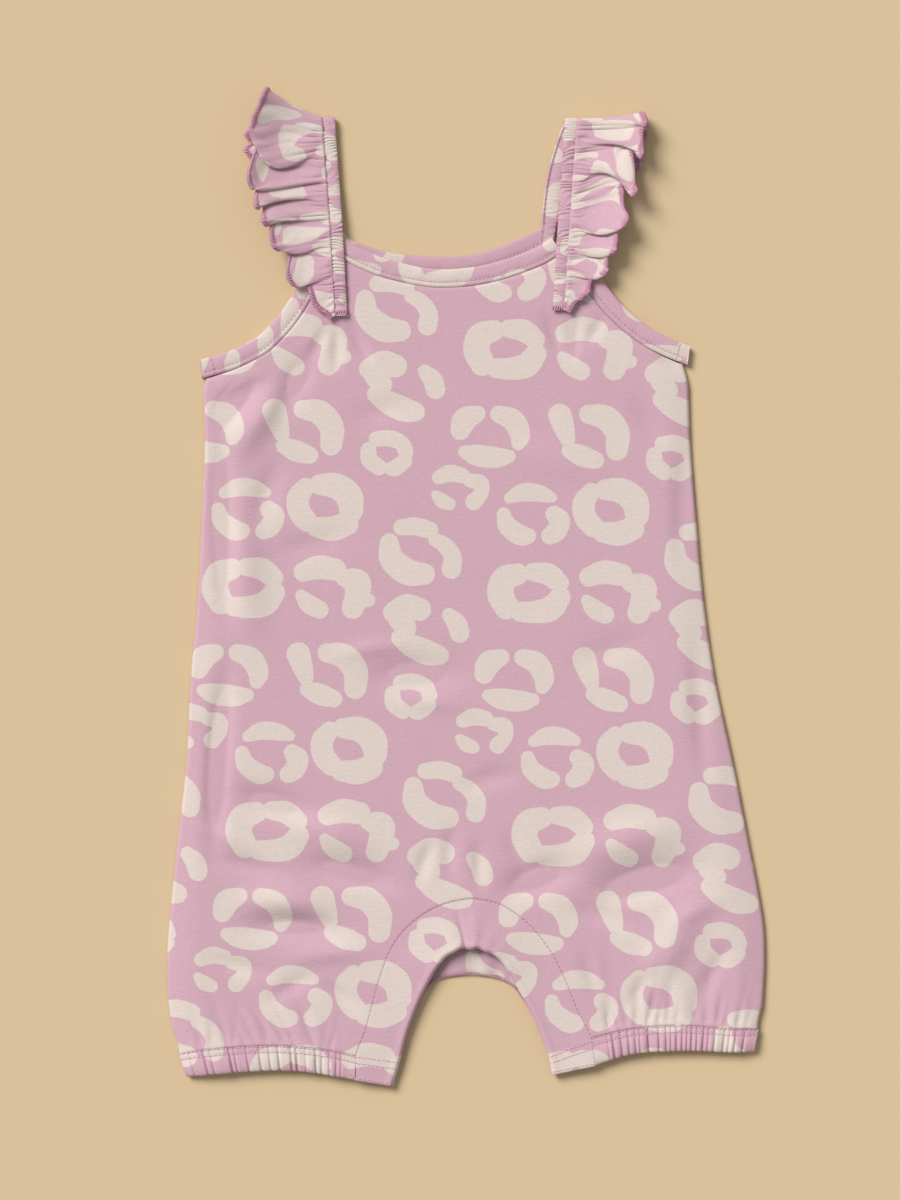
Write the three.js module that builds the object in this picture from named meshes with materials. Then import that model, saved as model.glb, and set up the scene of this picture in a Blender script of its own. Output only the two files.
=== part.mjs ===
// A baby romper laid flat on its back: two body panels, a crotch gusset to each, bound neck and armholes,
// elastic leg hems and two elastic shoulder straps, each with a gathered ruffle folded over at the shoulder.
// Millimetres. +X is to the right of the garment as it lies, +Y towards the straps, +Z up from the table.

import * as THREE from "three";

// Driving dimensions
const clothWall = 1.4;
const backWall = 1.2;
const seamGap = 0.3;
const bindingWidth = 9;
const bindingThick = 2;
const hemThick = 2.2;
const strapThick = 2;
const strapEnds = 0.8;
const backHemThick = 1.4;
const ruffleWall = 1.1;
const sideRoll = 16;
const backInset = 0.5;
const loftUnder = backWall + seamGap;
const tallestHollow = 3.8;

const cloth = { pink: 0xcfa9b6, lightPink: 0xd7b4bf, deepPink: 0xc49dab };

// The two side seams, from the underarm down to the leg hems
const sideSeams = [
  { y: 99, left: -126.7, right: 106.6 },
  { y: 70, left: -125.3, right: 107.5 },
  { y: 32, left: -126.7, right: 110.4 },
  { y: -6, left: -128.6, right: 113.8 },
  { y: -45, left: -132.0, right: 119.5 },
  { y: -83, left: -133.9, right: 127.7 },
  { y: -122, left: -138.2, right: 135.4 },
  { y: -160, left: -142.1, right: 142.4 },
  { y: -179, left: -143.3, right: 143.3 },
  { y: -198, left: -142.8, right: 142.4 },
  { y: -218, left: -139.6, right: 140.6 },
  { y: -235, left: -134.4, right: 137.6 },
];

// How far the front stands off the back over an even body, up the garment
const loftRows = [
  { y: -236, loft: 2.7 },
  { y: -205, loft: 2.6 },
  { y: -150, loft: 2.0 },
  { y: -60, loft: 1.7 },
  { y: 60, loft: 1.5 },
  { y: 110, loft: 1.1 },
  { y: 170, loft: 0.9 },
];

// Rows of the front panel stand closer together at the legs, where its folds are
const rowSpacing = [
  { rows: 0, panel: 0 },
  { rows: 0.57, panel: 0.45 },
  { rows: 1, panel: 1 },
];

// The largest soft folds of the front: centre, direction, half length, half width, height (below 0 in a trough)
const folds = [
  { x: -112, y: 88, turn: 52, reach: 22, spread: 6, height: -1.3 },
  { x: -99, y: 80, turn: 55, reach: 30, spread: 7, height: 1.1 },
  { x: -83, y: 96, turn: 60, reach: 24, spread: 6, height: -0.8 },
  { x: -117, y: 28, turn: 92, reach: 62, spread: 5, height: -1.3 },
  { x: -106, y: 8, turn: 95, reach: 48, spread: 8, height: 0.8 },
  { x: -119, y: -84, turn: 86, reach: 62, spread: 5, height: -1.3 },
  { x: -24, y: -42, turn: 2, reach: 34, spread: 8, height: -0.9 },
  { x: -88, y: -106, turn: -19, reach: 34, spread: 7, height: -1.1 },
  { x: -66, y: -117, turn: -21, reach: 38, spread: 7, height: 0.9 },
  { x: -56, y: -137, turn: -14, reach: 32, spread: 6, height: -1.1 },
  { x: -88, y: -151, turn: -8, reach: 30, spread: 7, height: 1.1 },
  { x: -82, y: -163, turn: -3, reach: 34, spread: 6, height: -1.1 },
  { x: 34, y: -140, turn: 20, reach: 28, spread: 7, height: -1.1 },
  { x: 86, y: -141, turn: 14, reach: 40, spread: 8, height: -1.3 },
  { x: 76, y: -122, turn: 16, reach: 40, spread: 9, height: 0.9 },
  { x: 96, y: -176, turn: 60, reach: 34, spread: 8, height: 0.9 },
];

// Cut edges, each from the left of the garment to its right
const frontNeck = [
  [-59.0, 168.2], [-54.2, 164.0], [-44.2, 159.1], [-35.0, 155.8], [-20.2, 152.6], [-9.1, 151.9],
  [5.3, 153.2], [19.2, 156.7], [33.1, 162.0], [41.0, 166.8],
];
const backNeck = [
  [-59.0, 170.0], [-54.8, 165.8], [-47.5, 163.0], [-37.0, 160.1], [-25.9, 158.6], [-13.0, 157.9],
  [-1.9, 158.4], [8.6, 160.3], [19.2, 163.9], [29.8, 168.7], [35.6, 171.6],
];
const leftArmhole = [
  [-127.4, 108.4], [-113.0, 112.8], [-100.9, 118.8], [-93.2, 126.0], [-87.7, 132.7], [-82.2, 141.4],
  [-77.8, 151.0], [-75.4, 157.0],
];
const rightArmhole = [
  [59.8, 158.0], [64.0, 149.7], [68.4, 142.5], [77.2, 132.6], [88.3, 123.8], [98.2, 118.6], [107.2, 115.0],
];
const leftHemTop = [
  [-137.6, -224.2], [-124.8, -222.0], [-102.8, -220.3], [-84.5, -220.3], [-66.0, -222.3], [-53.0, -225.2],
];
const leftHemEdge = [
  [-134.0, -234.9], [-124.8, -234.0], [-106.6, -232.4], [-91.1, -231.7], [-73.4, -232.8], [-53.6, -236.4],
];
const rightHemTop = [
  [60.0, -216.5], [65.1, -215.1], [74.9, -212.7], [84.8, -211.3], [98.9, -210.4], [113.0, -210.9],
  [127.1, -212.1], [139.9, -212.5],
];
const rightHemEdge = [
  [62.6, -229.8], [65.6, -228.2], [74.9, -225.0], [84.8, -223.2], [98.9, -222.5], [113.0, -222.5],
  [127.1, -223.1], [137.8, -222.9],
];
// The seam round the gusset. Its first and last leg run down the inner ends of the two hems
const gussetSeam = [
  [-53.2, -236.6], [-53.0, -225.2], [-48.7, -213.8], [-45.8, -203.3], [-42.9, -192.2], [-39.6, -182.0],
  [-36.2, -174.0], [-31.2, -166.6], [-25.2, -160.7], [-18.6, -156.0], [-10.6, -152.3], [-2.4, -150.3],
  [4.2, -149.9], [16.7, -152.6], [29.9, -161.8], [40.9, -175.4], [47.5, -188.6], [53.4, -202.8],
  [60.0, -216.5], [61.8, -229.8],
];

// The front gusset's free edge round the inside of the legs, against the share of the seam it faces
const frontCrotch = [
  { x: -35.2, y: -239.6, seam: 0.0, rise: 3.2 },
  { x: -31.4, y: -227.0, seam: 0.054, rise: 3.6 },
  { x: -28.3, y: -214.8, seam: 0.107, rise: 4.0 },
  { x: -24.5, y: -204.2, seam: 0.157, rise: 4.2 },
  { x: -21.4, y: -197.0, seam: 0.209, rise: 4.4 },
  { x: -18.0, y: -190.3, seam: 0.258, rise: 4.6 },
  { x: -14.6, y: -184.1, seam: 0.297, rise: 4.9 },
  { x: -10.6, y: -178.9, seam: 0.338, rise: 5.1 },
  { x: -6.6, y: -175.6, seam: 0.388, rise: 5.3 },
  { x: -2.2, y: -174.0, seam: 0.448, rise: 5.4 },
  { x: 2.4, y: -173.6, seam: 0.508, rise: 5.3 },
  { x: 7.2, y: -174.3, seam: 0.568, rise: 5.2 },
  { x: 11.8, y: -176.0, seam: 0.628, rise: 5.0 },
  { x: 15.8, y: -178.8, seam: 0.677, rise: 4.8 },
  { x: 19.2, y: -183.1, seam: 0.724, rise: 4.5 },
  { x: 22.6, y: -189.0, seam: 0.768, rise: 4.2 },
  { x: 27.7, y: -198.2, seam: 0.819, rise: 4.0 },
  { x: 32.2, y: -206.8, seam: 0.87, rise: 3.8 },
  { x: 36.5, y: -216.8, seam: 0.922, rise: 3.6 },
  { x: 39.2, y: -224.4, seam: 0.952, rise: 3.4 },
  { x: 41.2, y: -234.2, seam: 1.0, rise: 3.2 },
];
// The back gusset hangs lower at the crotch, so it shows through the arch of the legs
const backCrotch = [
  [-34.6, -238.8], [-31.4, -227.4], [-28.0, -215.0], [-24.4, -205.0], [-21.2, -198.4], [-18.2, -192.9],
  [-14.6, -189.6], [-8.4, -187.3], [1.9, -186.4], [10.6, -187.2], [17.6, -189.0], [22.8, -192.4],
  [27.9, -199.4], [32.4, -207.4], [36.4, -217.2], [39.0, -224.4], [40.8, -233.6],
];

// Strap centre lines: the front run from its sewn tip to the shoulder, and the back run down to the back neck
const straps = {
  left: {
    outward: -1,
    width: 7,
    front: [
      { x: -60.2, y: 129.2, z: 5.6 },
      { x: -61.4, y: 151.9, z: 5.7 },
      { x: -62.2, y: 167.0, z: 5.7 },
      { x: -63.2, y: 182.0, z: 4.4 },
      { x: -64.3, y: 196.0, z: 3.4 },
      { x: -66.2, y: 223.0, z: 3.4 },
    ],
    back: [
      { x: -66.2, y: 223.0, z: 1.0 },
      { x: -64.6, y: 196.0, z: 1.0 },
      { x: -63.0, y: 170.6, z: 1.0 },
    ],
  },
  right: {
    outward: 1,
    width: 6.6,
    front: [
      { x: 44.6, y: 132.0, z: 5.6 },
      { x: 45.8, y: 151.9, z: 5.7 },
      { x: 46.8, y: 168.2, z: 5.7 },
      { x: 47.8, y: 182.0, z: 4.4 },
      { x: 48.7, y: 196.0, z: 3.4 },
      { x: 50.6, y: 222.4, z: 3.4 },
    ],
    back: [
      { x: 50.2, y: 222.4, z: 1.0 },
      { x: 44.4, y: 196.0, z: 1.0 },
      { x: 39.6, y: 173.6, z: 1.0 },
    ],
  },
};

// Free edge of each ruffle against its share of the strap: its lift over the strap and its wave height
const ruffleEdges = {
  left: [
    { along: 0.0, x: -65.4, y: 127.6, lift: 0.0, wave: 0.1 },
    { along: 0.1, x: -73.0, y: 136.0, lift: 0.6, wave: 0.6 },
    { along: 0.2, x: -81.6, y: 146.0, lift: 1.6, wave: 1.0 },
    { along: 0.32, x: -87.2, y: 158.0, lift: 2.6, wave: 1.6 },
    { along: 0.45, x: -93.6, y: 170.0, lift: 4.6, wave: 2.4 },
    { along: 0.58, x: -99.2, y: 182.4, lift: 6.6, wave: 2.8 },
    { along: 0.7, x: -101.6, y: 194.4, lift: 7.4, wave: 3.0 },
    { along: 0.82, x: -102.4, y: 207.0, lift: 8.0, wave: 3.0 },
    { along: 0.92, x: -103.2, y: 220.0, lift: 8.4, wave: 2.6 },
    { along: 1.0, x: -97.6, y: 234.0, lift: 8.8, wave: 1.2 },
  ],
  right: [
    { along: 0.0, x: 49.6, y: 130.6, lift: 0.0, wave: 0.1 },
    { along: 0.1, x: 57.2, y: 140.4, lift: 0.6, wave: 0.6 },
    { along: 0.2, x: 64.2, y: 149.4, lift: 1.6, wave: 1.0 },
    { along: 0.32, x: 69.0, y: 160.0, lift: 2.6, wave: 1.6 },
    { along: 0.45, x: 73.6, y: 171.4, lift: 4.6, wave: 2.4 },
    { along: 0.58, x: 76.6, y: 184.2, lift: 6.6, wave: 2.8 },
    { along: 0.7, x: 80.0, y: 196.0, lift: 7.4, wave: 3.0 },
    { along: 0.82, x: 82.4, y: 206.6, lift: 8.0, wave: 3.0 },
    { along: 0.92, x: 85.0, y: 215.4, lift: 8.4, wave: 2.6 },
    { along: 1.0, x: 86.4, y: 222.6, lift: 8.8, wave: 1.2 },
  ],
};

// Where the crests of each ruffle's large folds stand along its free edge, and those of the half at the back
const ruffleCrests = {
  left: [0.07, 0.25, 0.41, 0.51, 0.6, 0.74, 0.95],
  right: [0.1, 0.25, 0.36, 0.51, 0.68, 0.86, 0.99],
};
const backWaves = 7;
const backWaveHeight = 0.7;
const backFall = 1.8;
const waveLean = 1.5;
const scallop = 1.0;
const rootGathers = 20;
const rootGatherHeight = 0.4;

const ribsPerStrap = 46;
const ribHeight = 0.35;
const leftHemGathers = 17;
const rightHemGathers = 24;
const gatherHeight = 0.55;
const hemRise = 0.4;

// Small puckers where the front gusset turns, by the share of the seam they face
const puckers = [
  { at: 0.42, width: 0.03, height: 0.8 },
  { at: 0.5, width: 0.025, height: 1.0 },
  { at: 0.58, width: 0.03, height: 0.7 },
];

// How finely each surface is divided
const hemColumns = 10;
const armholeColumns = 12;
const archColumns = 22;
const neckColumns = 2 * hemColumns + archColumns - 2 * armholeColumns;
const bodyColumns = 2 * hemColumns + archColumns;
const bodyRows = 27;
const gussetRows = 4;
const columnsPerGather = 4;
const ruffleRows = 4;
const foldColumns = 6;

const { PI, abs, cos, exp, max, min, sin } = Math;
const vec = (x, y, z) => new THREE.Vector3(x, y, z);
const mix = (a, b, t) => a + (b - a) * t;
const clamp = (t) => min(1, max(0, t));
const soft = (t) => clamp(t) ** 2 * (3 - 2 * clamp(t));
const steps = (count, make) => Array.from({ length: count + 1 }, (_, k) => make(k / count));

// A column of a table as a smooth function of another of its columns
function smoothColumn(rows, against, column) {
  const last = rows.length - 1;
  const sign = Math.sign(rows[last][against] - rows[0][against]);
  const slope = (i) => {
    const [a, b] = [rows[max(0, i - 1)], rows[min(last, i + 1)]];
    return (b[column] - a[column]) / (b[against] - a[against]);
  };
  return (at) => {
    let i = 0;
    while (i < last - 1 && (at - rows[i + 1][against]) * sign > 0) i += 1;
    const [a, b] = [rows[i], rows[i + 1]];
    const span = b[against] - a[against];
    const t = clamp((at - a[against]) / span);
    const blend = t * t * (3 - 2 * t);
    const bend = (t - 2 * t * t + t ** 3) * slope(i) + (t ** 3 - t * t) * slope(i + 1);
    return mix(a[column], b[column], blend) + span * bend;
  };
}

const planCurve = (points) => new THREE.SplineCurve(points.map(([x, y]) => new THREE.Vector2(x, y)));

// A point at a share of a plan curve's length, moved sideways: positive is to the right of its direction
function beside(curve, share, offset) {
  const point = curve.getPointAt(share);
  const along = curve.getTangentAt(share);
  return new THREE.Vector2(point.x + along.y * offset, point.y - along.x * offset);
}

const curves = {
  frontNeck: planCurve(frontNeck),
  backNeck: planCurve(backNeck),
  leftArmhole: planCurve(leftArmhole),
  rightArmhole: planCurve(rightArmhole),
  leftHemTop: planCurve(leftHemTop),
  leftHemEdge: planCurve(leftHemEdge),
  rightHemTop: planCurve(rightHemTop),
  rightHemEdge: planCurve(rightHemEdge),
  gussetSeam: planCurve(gussetSeam),
  backCrotch: planCurve(backCrotch),
};

const leftSide = smoothColumn(sideSeams, "y", "left");
const rightSide = smoothColumn(sideSeams, "y", "right");
const loftAt = smoothColumn(loftRows, "y", "loft");
const rowPlace = smoothColumn(rowSpacing, "rows", "panel");

// Height of one soft fold over a place on the panel
function foldHeight(fold, x, y) {
  const turn = THREE.MathUtils.degToRad(fold.turn);
  const [dx, dy] = [x - fold.x, y - fold.y];
  const along = (dx * cos(turn) + dy * sin(turn)) / fold.reach;
  const across = (dy * cos(turn) - dx * sin(turn)) / fold.spread;
  if (abs(along) >= 1) return 0;
  return fold.height * cos((along * PI) / 2) ** 2 * exp(-across * across);
}

// Underside height of the front over the table: loft and folds, rolled down to the back at the side seams
function frontUnderside(x, y) {
  const fromSide = min(x - leftSide(y), rightSide(y) - x);
  const roll = sin((clamp(fromSide / sideRoll) * PI) / 2);
  const creases = folds.reduce((sum, fold) => sum + foldHeight(fold, x, y), 0);
  return loftUnder + roll * clamp((loftAt(y) + creases) / tallestHollow) * tallestHollow;
}

// A closed body from vertex positions and triangles, turned so that its faces point out
function closedBody(points, triangles) {
  let volume = 0;
  for (const [a, b, c] of triangles) volume += points[a].dot(points[b].clone().cross(points[c]));
  const index = triangles.flatMap(([a, b, c]) => (volume > 0 ? [a, b, c] : [a, c, b]));
  const geometry = new THREE.BufferGeometry().setFromPoints(points);
  geometry.setIndex(index);
  geometry.computeVertexNormals();
  return geometry;
}

// A cloth wall over a grid of columns and rows: face(u, v) gives its upper and lower point
function clothSheet(columns, rows, face) {
  const over = [];
  const under = [];
  for (let i = 0; i <= columns; i += 1) {
    for (let j = 0; j <= rows; j += 1) {
      const [top, bottom] = face(i / columns, j / rows, i, j);
      over.push(top);
      under.push(bottom);
    }
  }
  const count = over.length;
  const at = (i, j) => i * (rows + 1) + j;
  const triangles = [];
  const quad = (a, b, c, d) => triangles.push([a, b, c], [a, c, d]);
  for (let i = 0; i < columns; i += 1) {
    for (let j = 0; j < rows; j += 1) {
      quad(at(i, j), at(i + 1, j), at(i + 1, j + 1), at(i, j + 1));
      quad(count + at(i, j), count + at(i, j + 1), count + at(i + 1, j + 1), count + at(i + 1, j));
    }
    quad(at(i + 1, 0), at(i, 0), count + at(i, 0), count + at(i + 1, 0));
    quad(at(i, rows), at(i + 1, rows), count + at(i + 1, rows), count + at(i, rows));
  }
  for (let j = 0; j < rows; j += 1) {
    quad(at(0, j), at(0, j + 1), count + at(0, j + 1), count + at(0, j));
    quad(at(columns, j + 1), at(columns, j), count + at(columns, j), count + at(columns, j + 1));
  }
  return closedBody([...over, ...under], triangles);
}

// A closed body through rings of points
function ringBody(rings) {
  const around = rings[0].length;
  const triangles = [];
  for (let r = 0; r + 1 < rings.length; r += 1) {
    for (let k = 0; k < around; k += 1) {
      const [a, b] = [r * around + k, r * around + ((k + 1) % around)];
      triangles.push([a, b, b + around], [a, b + around, a + around]);
    }
  }
  const last = (rings.length - 1) * around;
  for (let k = 1; k + 1 < around; k += 1) {
    triangles.push([0, k + 1, k], [last, last + k, last + k + 1]);
  }
  return closedBody(rings.flat(), triangles);
}

// The share of a curve's length at one of the points it was drawn through
function shareOf(curve, point) {
  const fineness = 40;
  const lengths = curve.getLengths(fineness * (curve.points.length - 1));
  return lengths[point * fineness] / lengths[lengths.length - 1];
}

// Stations round the gusset seam that the panels on both its sides share, so that their edges stay parallel
const archFrom = shareOf(curves.gussetSeam, 1);
const archTo = shareOf(curves.gussetSeam, gussetSeam.length - 2);
const archShares = steps(archColumns, (t) => mix(archFrom, archTo, t));
const seamShares = [0, ...archShares, 1];

const sampled = (curve, count, offset) => steps(count, (t) => beside(curve, t, offset));
const alongSeam = (shares, offset) => shares.map((share) => beside(curves.gussetSeam, share, offset));

// Where the line through a run's last two points crosses the line through the next run's first two
function corner(run, next) {
  const [a, b] = run.slice(-2);
  const [c, d] = next;
  const [ab, cd] = [b.clone().sub(a), d.clone().sub(c)];
  return a.clone().addScaledVector(ab, c.clone().sub(a).cross(cd) / ab.cross(cd));
}

// One panel edge from several runs of points, mitred where they meet
function joined(...runs) {
  const points = [...runs[0]];
  for (const run of runs.slice(1)) points.splice(-1, 1, corner(points, run), ...run.slice(1));
  return points;
}

const insideBinding = bindingWidth + seamGap;

// The lower edge of a body panel: along both hems and over the gusset between them
const panelFoot = () =>
  joined(
    sampled(curves.leftHemTop, hemColumns, -seamGap),
    alongSeam(archShares, -seamGap),
    sampled(curves.rightHemTop, hemColumns, -seamGap),
  );

// The front panel fills the space between its hem and gusset seam, its side seams, and the bindings
function frontBody() {
  const foot = panelFoot();
  const top = joined(
    sampled(curves.leftArmhole, armholeColumns, insideBinding),
    sampled(curves.frontNeck, neckColumns, insideBinding),
    sampled(curves.rightArmhole, armholeColumns, insideBinding),
  );
  const fromCorner = (i, v) => foot[i].clone().lerp(top[i], v);
  return clothSheet(bodyColumns, bodyRows, (u, rowShare, i) => {
    const v = rowPlace(rowShare);
    const { x, y } = fromCorner(i, v);
    const [left, right] = [fromCorner(0, v), fromCorner(bodyColumns, v)];
    const pull = v > 0 && v < 1 ? abs(2 * u - 1) : 0;
    const sideX = x + pull * mix(leftSide(left.y) - left.x, rightSide(right.y) - right.x, u);
    const z = frontUnderside(sideX, y);
    return [vec(sideX, y, z + clothWall), vec(sideX, y, z)];
  });
}

const flatPanel = (outline) =>
  new THREE.ExtrudeGeometry(new THREE.Shape(outline), { depth: backWall, bevelEnabled: false });

// Two points just past the end of a binding, across its width
function pastEnd(curve, share) {
  const along = curve.getTangentAt(share).multiplyScalar(share ? seamGap : -seamGap);
  return [beside(curve, share, 0).add(along), beside(curve, share, insideBinding).add(along)];
}

// The outer corner of the back panel, just below a strap's end
function strapCorner({ width, outward, back }) {
  const { x, y } = back[back.length - 1];
  return new THREE.Vector2(x + (outward * width) / 2, y - seamGap);
}

// The back panel lies flat on the table under the front. Each upper corner takes the end of a strap
function backBody() {
  const side = (edge, inward) =>
    sideSeams.slice(1, -1).map((row) => new THREE.Vector2(row[edge] + inward * backInset, row.y));
  return flatPanel([
    ...sampled(curves.leftArmhole, armholeColumns, insideBinding).slice(0, -1),
    ...pastEnd(curves.leftArmhole, 1).reverse(),
    strapCorner(straps.left),
    ...pastEnd(curves.backNeck, 0),
    ...sampled(curves.backNeck, neckColumns, insideBinding).slice(1, -1),
    ...pastEnd(curves.backNeck, 1).reverse(),
    strapCorner(straps.right),
    ...pastEnd(curves.rightArmhole, 0),
    ...sampled(curves.rightArmhole, armholeColumns, insideBinding).slice(1),
    ...side("right", -1),
    ...panelFoot().reverse(),
    ...side("left", 1).reverse(),
  ]);
}

// Section of a binding across its width: rolled over at the cut edge, pressed flat where it is sewn down
const bindingSection = [
  { across: 0.0, under: 0.5, over: 0.7 },
  { across: 0.12, under: 0.0, over: 0.95 },
  { across: 0.6, under: 0.0, over: 1.0 },
  { across: 1.0, under: 0.0, over: 0.82 },
];

function binding(curve, columns, base, inset) {
  return clothSheet(columns, bindingSection.length - 1, (u, v, i, j) => {
    const { across, under, over } = bindingSection[j];
    const { x, y } = beside(curve, u, mix(inset, bindingWidth, across));
    return [vec(x, y, base + over * bindingThick), vec(x, y, base + under * bindingThick)];
  });
}

const frontBinding = (curve, columns) => binding(curve, columns, bindingThick + seamGap, 0);
const backBinding = (curve, columns, inset) => binding(curve, columns, 0, inset);

// An elastic leg hem between its stitching and its edge, rippled by its gathers
function frontHem(topCurve, edgeCurve, gathers) {
  return clothSheet(gathers * columnsPerGather, 2, (u, v) => {
    const { x, y } = edgeCurve.getPointAt(u).lerp(topCurve.getPointAt(u), v);
    const ripple = gatherHeight * cos(2 * PI * gathers * u) * clamp(3 * sin(PI * u) ** 0.5);
    const rounding = 0.35 * hemThick * (1 - v) ** 3;
    const z = frontUnderside(x, y) + hemRise + ripple;
    return [vec(x, y, z + hemThick - rounding), vec(x, y, z + rounding)];
  });
}

// The same hem at the back, flat on the table and just clear of the gusset's seam
function backHem(topCurve, edgeCurve) {
  const endGap = 0.004;
  return clothSheet(hemColumns, 2, (u, v) => {
    const along = mix(endGap, 1 - endGap, u);
    const { x, y } = edgeCurve.getPointAt(along).lerp(topCurve.getPointAt(along), v);
    return [vec(x, y, backHemThick), vec(x, y, 0)];
  });
}

// The front gusset: an arched strip round the inside of both legs, puckered where it turns
function frontGusset() {
  const [edgeX, edgeY, edgeRise] = ["x", "y", "rise"].map((name) => smoothColumn(frontCrotch, "seam", name));
  const stations = alongSeam(seamShares, 0);
  const spans = stations.length - 1;
  return clothSheet(2 * spans, gussetRows, (u, v) => {
    const k = min(spans - 1, Math.floor(u * spans));
    const seam = stations[k].clone().lerp(stations[k + 1], u * spans - k);
    const share = mix(seamShares[k], seamShares[k + 1], u * spans - k);
    const pucker = puckers.reduce((sum, p) => sum + p.height * exp(-(((share - p.at) / p.width) ** 2)), 0);
    const z = mix(edgeRise(share), frontUnderside(seam.x, seam.y), soft(v)) + pucker * (1 - v);
    const [x, y] = [mix(edgeX(share), seam.x, v), mix(edgeY(share), seam.y, v)];
    return [vec(x, y, z + clothWall), vec(x, y, z)];
  });
}

const backGusset = () =>
  flatPanel([...alongSeam(seamShares, 0), ...sampled(curves.backCrotch, 40, 0).reverse()]);

// Points of a strap's run, evenly up the garment, with the direction its upper side faces
function strapRun(rows, count, facing) {
  const [x, z] = [smoothColumn(rows, "y", "x"), smoothColumn(rows, "y", "z")];
  return steps(count, (t) => {
    const y = mix(rows[0].y, rows[rows.length - 1].y, t);
    return { centre: vec(x(y), y, z(y)), up: vec(0, 0, facing) };
  });
}

// The hairpin over the shoulder that joins a strap's two runs
function strapFold(start, end, count) {
  const radius = (start.z - end.z) / 2;
  return steps(count, (t) => {
    const [across, rise] = [sin(t * PI), cos(t * PI)];
    const centre = vec(mix(start.x, end.x, t), start.y + radius * across, end.z + radius * (1 + rise));
    return { centre, up: vec(0, across, rise) };
  }).slice(1, -1);
}

// An elastic strap: a flat tube, ribbed on its front run by the gathered cloth over the elastic
function strap({ width, front, back }) {
  const half = width / 2;
  const low = strapThick / 2;
  const rising = strapRun(front, 2 * ribsPerStrap, 1);
  const stations = [
    ...rising,
    ...strapFold(front[front.length - 1], back[0], foldColumns),
    ...strapRun(back, 8, -1),
  ];
  const rings = stations.map(({ centre, up }, k) => {
    const high = k < rising.length && k % 2 ? low : low - ribHeight;
    const section = [
      [-half, 0],
      [strapEnds - half, high],
      [half - strapEnds, high],
      [half, 0],
      [half - strapEnds, -low],
      [strapEnds - half, -low],
    ];
    return section.map(([across, rise]) => centre.clone().addScaledVector(up, rise).add(vec(across, 0, 0)));
  });
  return ringBody(rings);
}

// The middle surface of a ruffle's front half: share runs up the strap, t from the strap to the free edge
function ruffleFront({ front, outward, width }, edgeRows, crests) {
  const [edgeX, edgeY, lift, wave] = ["x", "y", "lift", "wave"].map((name) =>
    smoothColumn(edgeRows, "along", name),
  );
  const turnRows = crests.map((along, turn) => ({ along, turn }));
  const turnAt = smoothColumn(turnRows, "along", "turn");
  const [strapX, strapZ] = [smoothColumn(front, "y", "x"), smoothColumn(front, "y", "z")];
  return (share, t) => {
    const y = mix(front[0].y, front[front.length - 1].y, share);
    const swing = cos(2 * PI * turnAt(share));
    const free = t * clamp(6 * share * (1 - share));
    const gather = rootGatherHeight * (1 - t) ** 2 * cos(2 * PI * rootGathers * share);
    return vec(
      mix(strapX(y) + outward * (width / 2 + seamGap), edgeX(share), t) + outward * scallop * free * swing,
      mix(y, edgeY(share), t) - waveLean * free * swing,
      strapZ(y) + lift(share) * t * t + wave(share) * t * swing + gather,
    );
  };
}

// The half behind it, lying on the table and narrowing to nothing at the strap's back end
function ruffleBack({ front, back, outward, width }, edgeRows) {
  const [edgeX, edgeY] = ["x", "y"].map((name) => smoothColumn(edgeRows, "along", name));
  const strapX = smoothColumn(back, "y", "x");
  const narrowFrom = 0.3;
  const hiddenPart = 0.55;
  return (share, t) => {
    const y = mix(front[front.length - 1].y, back[back.length - 1].y + 1, share);
    const rootX = strapX(y) + outward * (width / 2 + seamGap);
    const along = 1 - hiddenPart * share;
    const reach = edgeX(along) - rootX + outward * backFall * soft(3 * share);
    const narrow = 1 - 0.97 * soft((share - narrowFrom) / (1 - narrowFrom));
    const wave = backWaveHeight * sin(2 * PI * backWaves * share) * soft(6 * share);
    return vec(
      rootX + reach * t * narrow,
      mix(y, mix(edgeY(along), y, soft(2 * share)), t),
      mix(1.0, 1.6, t) + wave * t * narrow,
    );
  };
}

// The bend over the shoulder between a ruffle's two halves
function ruffleFold(frontHalf, backHalf, outward) {
  const flatter = 0.8;
  const lean = 0.35;
  return (share, t) => {
    const [a, b] = [frontHalf(1, t), backHalf(0, t)];
    const radius = (a.z - b.z) / 2;
    const bend = radius * sin(share * PI);
    const middle = a.clone().lerp(b, share);
    return vec(
      middle.x - outward * lean * t * bend,
      middle.y + flatter * bend,
      b.z + radius * (1 + cos(share * PI)),
    );
  };
}

// A ruffle: a gathered strip sewn along the outer edge of a strap, waving more and more towards its free edge
function ruffle(side, edgeRows, crests) {
  const frontHalf = ruffleFront(side, edgeRows, crests);
  const backHalf = ruffleBack(side, edgeRows);
  const shoulder = ruffleFold(frontHalf, backHalf, side.outward);
  const frontColumns = rootGathers * columnsPerGather;
  const backColumns = backWaves * columnsPerGather;
  const columns = frontColumns + foldColumns + backColumns;
  const middle = (u, t) => {
    const at = clamp(u) * columns;
    if (at <= frontColumns) return frontHalf(at / frontColumns, clamp(t));
    if (at <= frontColumns + foldColumns) return shoulder((at - frontColumns) / foldColumns, clamp(t));
    return backHalf((at - frontColumns - foldColumns) / backColumns, clamp(t));
  };
  const [nudgeAlong, nudgeOut] = [0.005, 0.02];
  return clothSheet(columns, ruffleRows, (u, t) => {
    const along = middle(u + nudgeAlong, t).sub(middle(u - nudgeAlong, t));
    const out = middle(u, t + nudgeOut).sub(middle(u, t - nudgeOut));
    const half = along.cross(out).setLength((side.outward * ruffleWall) / 2);
    return [middle(u, t).add(half), middle(u, t).sub(half)];
  });
}

function piece(name, colour, geometry) {
  const material = new THREE.MeshStandardMaterial({ color: colour, roughness: 0.92, metalness: 0 });
  const mesh = new THREE.Mesh(geometry, material);
  mesh.name = name;
  return mesh;
}

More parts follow.
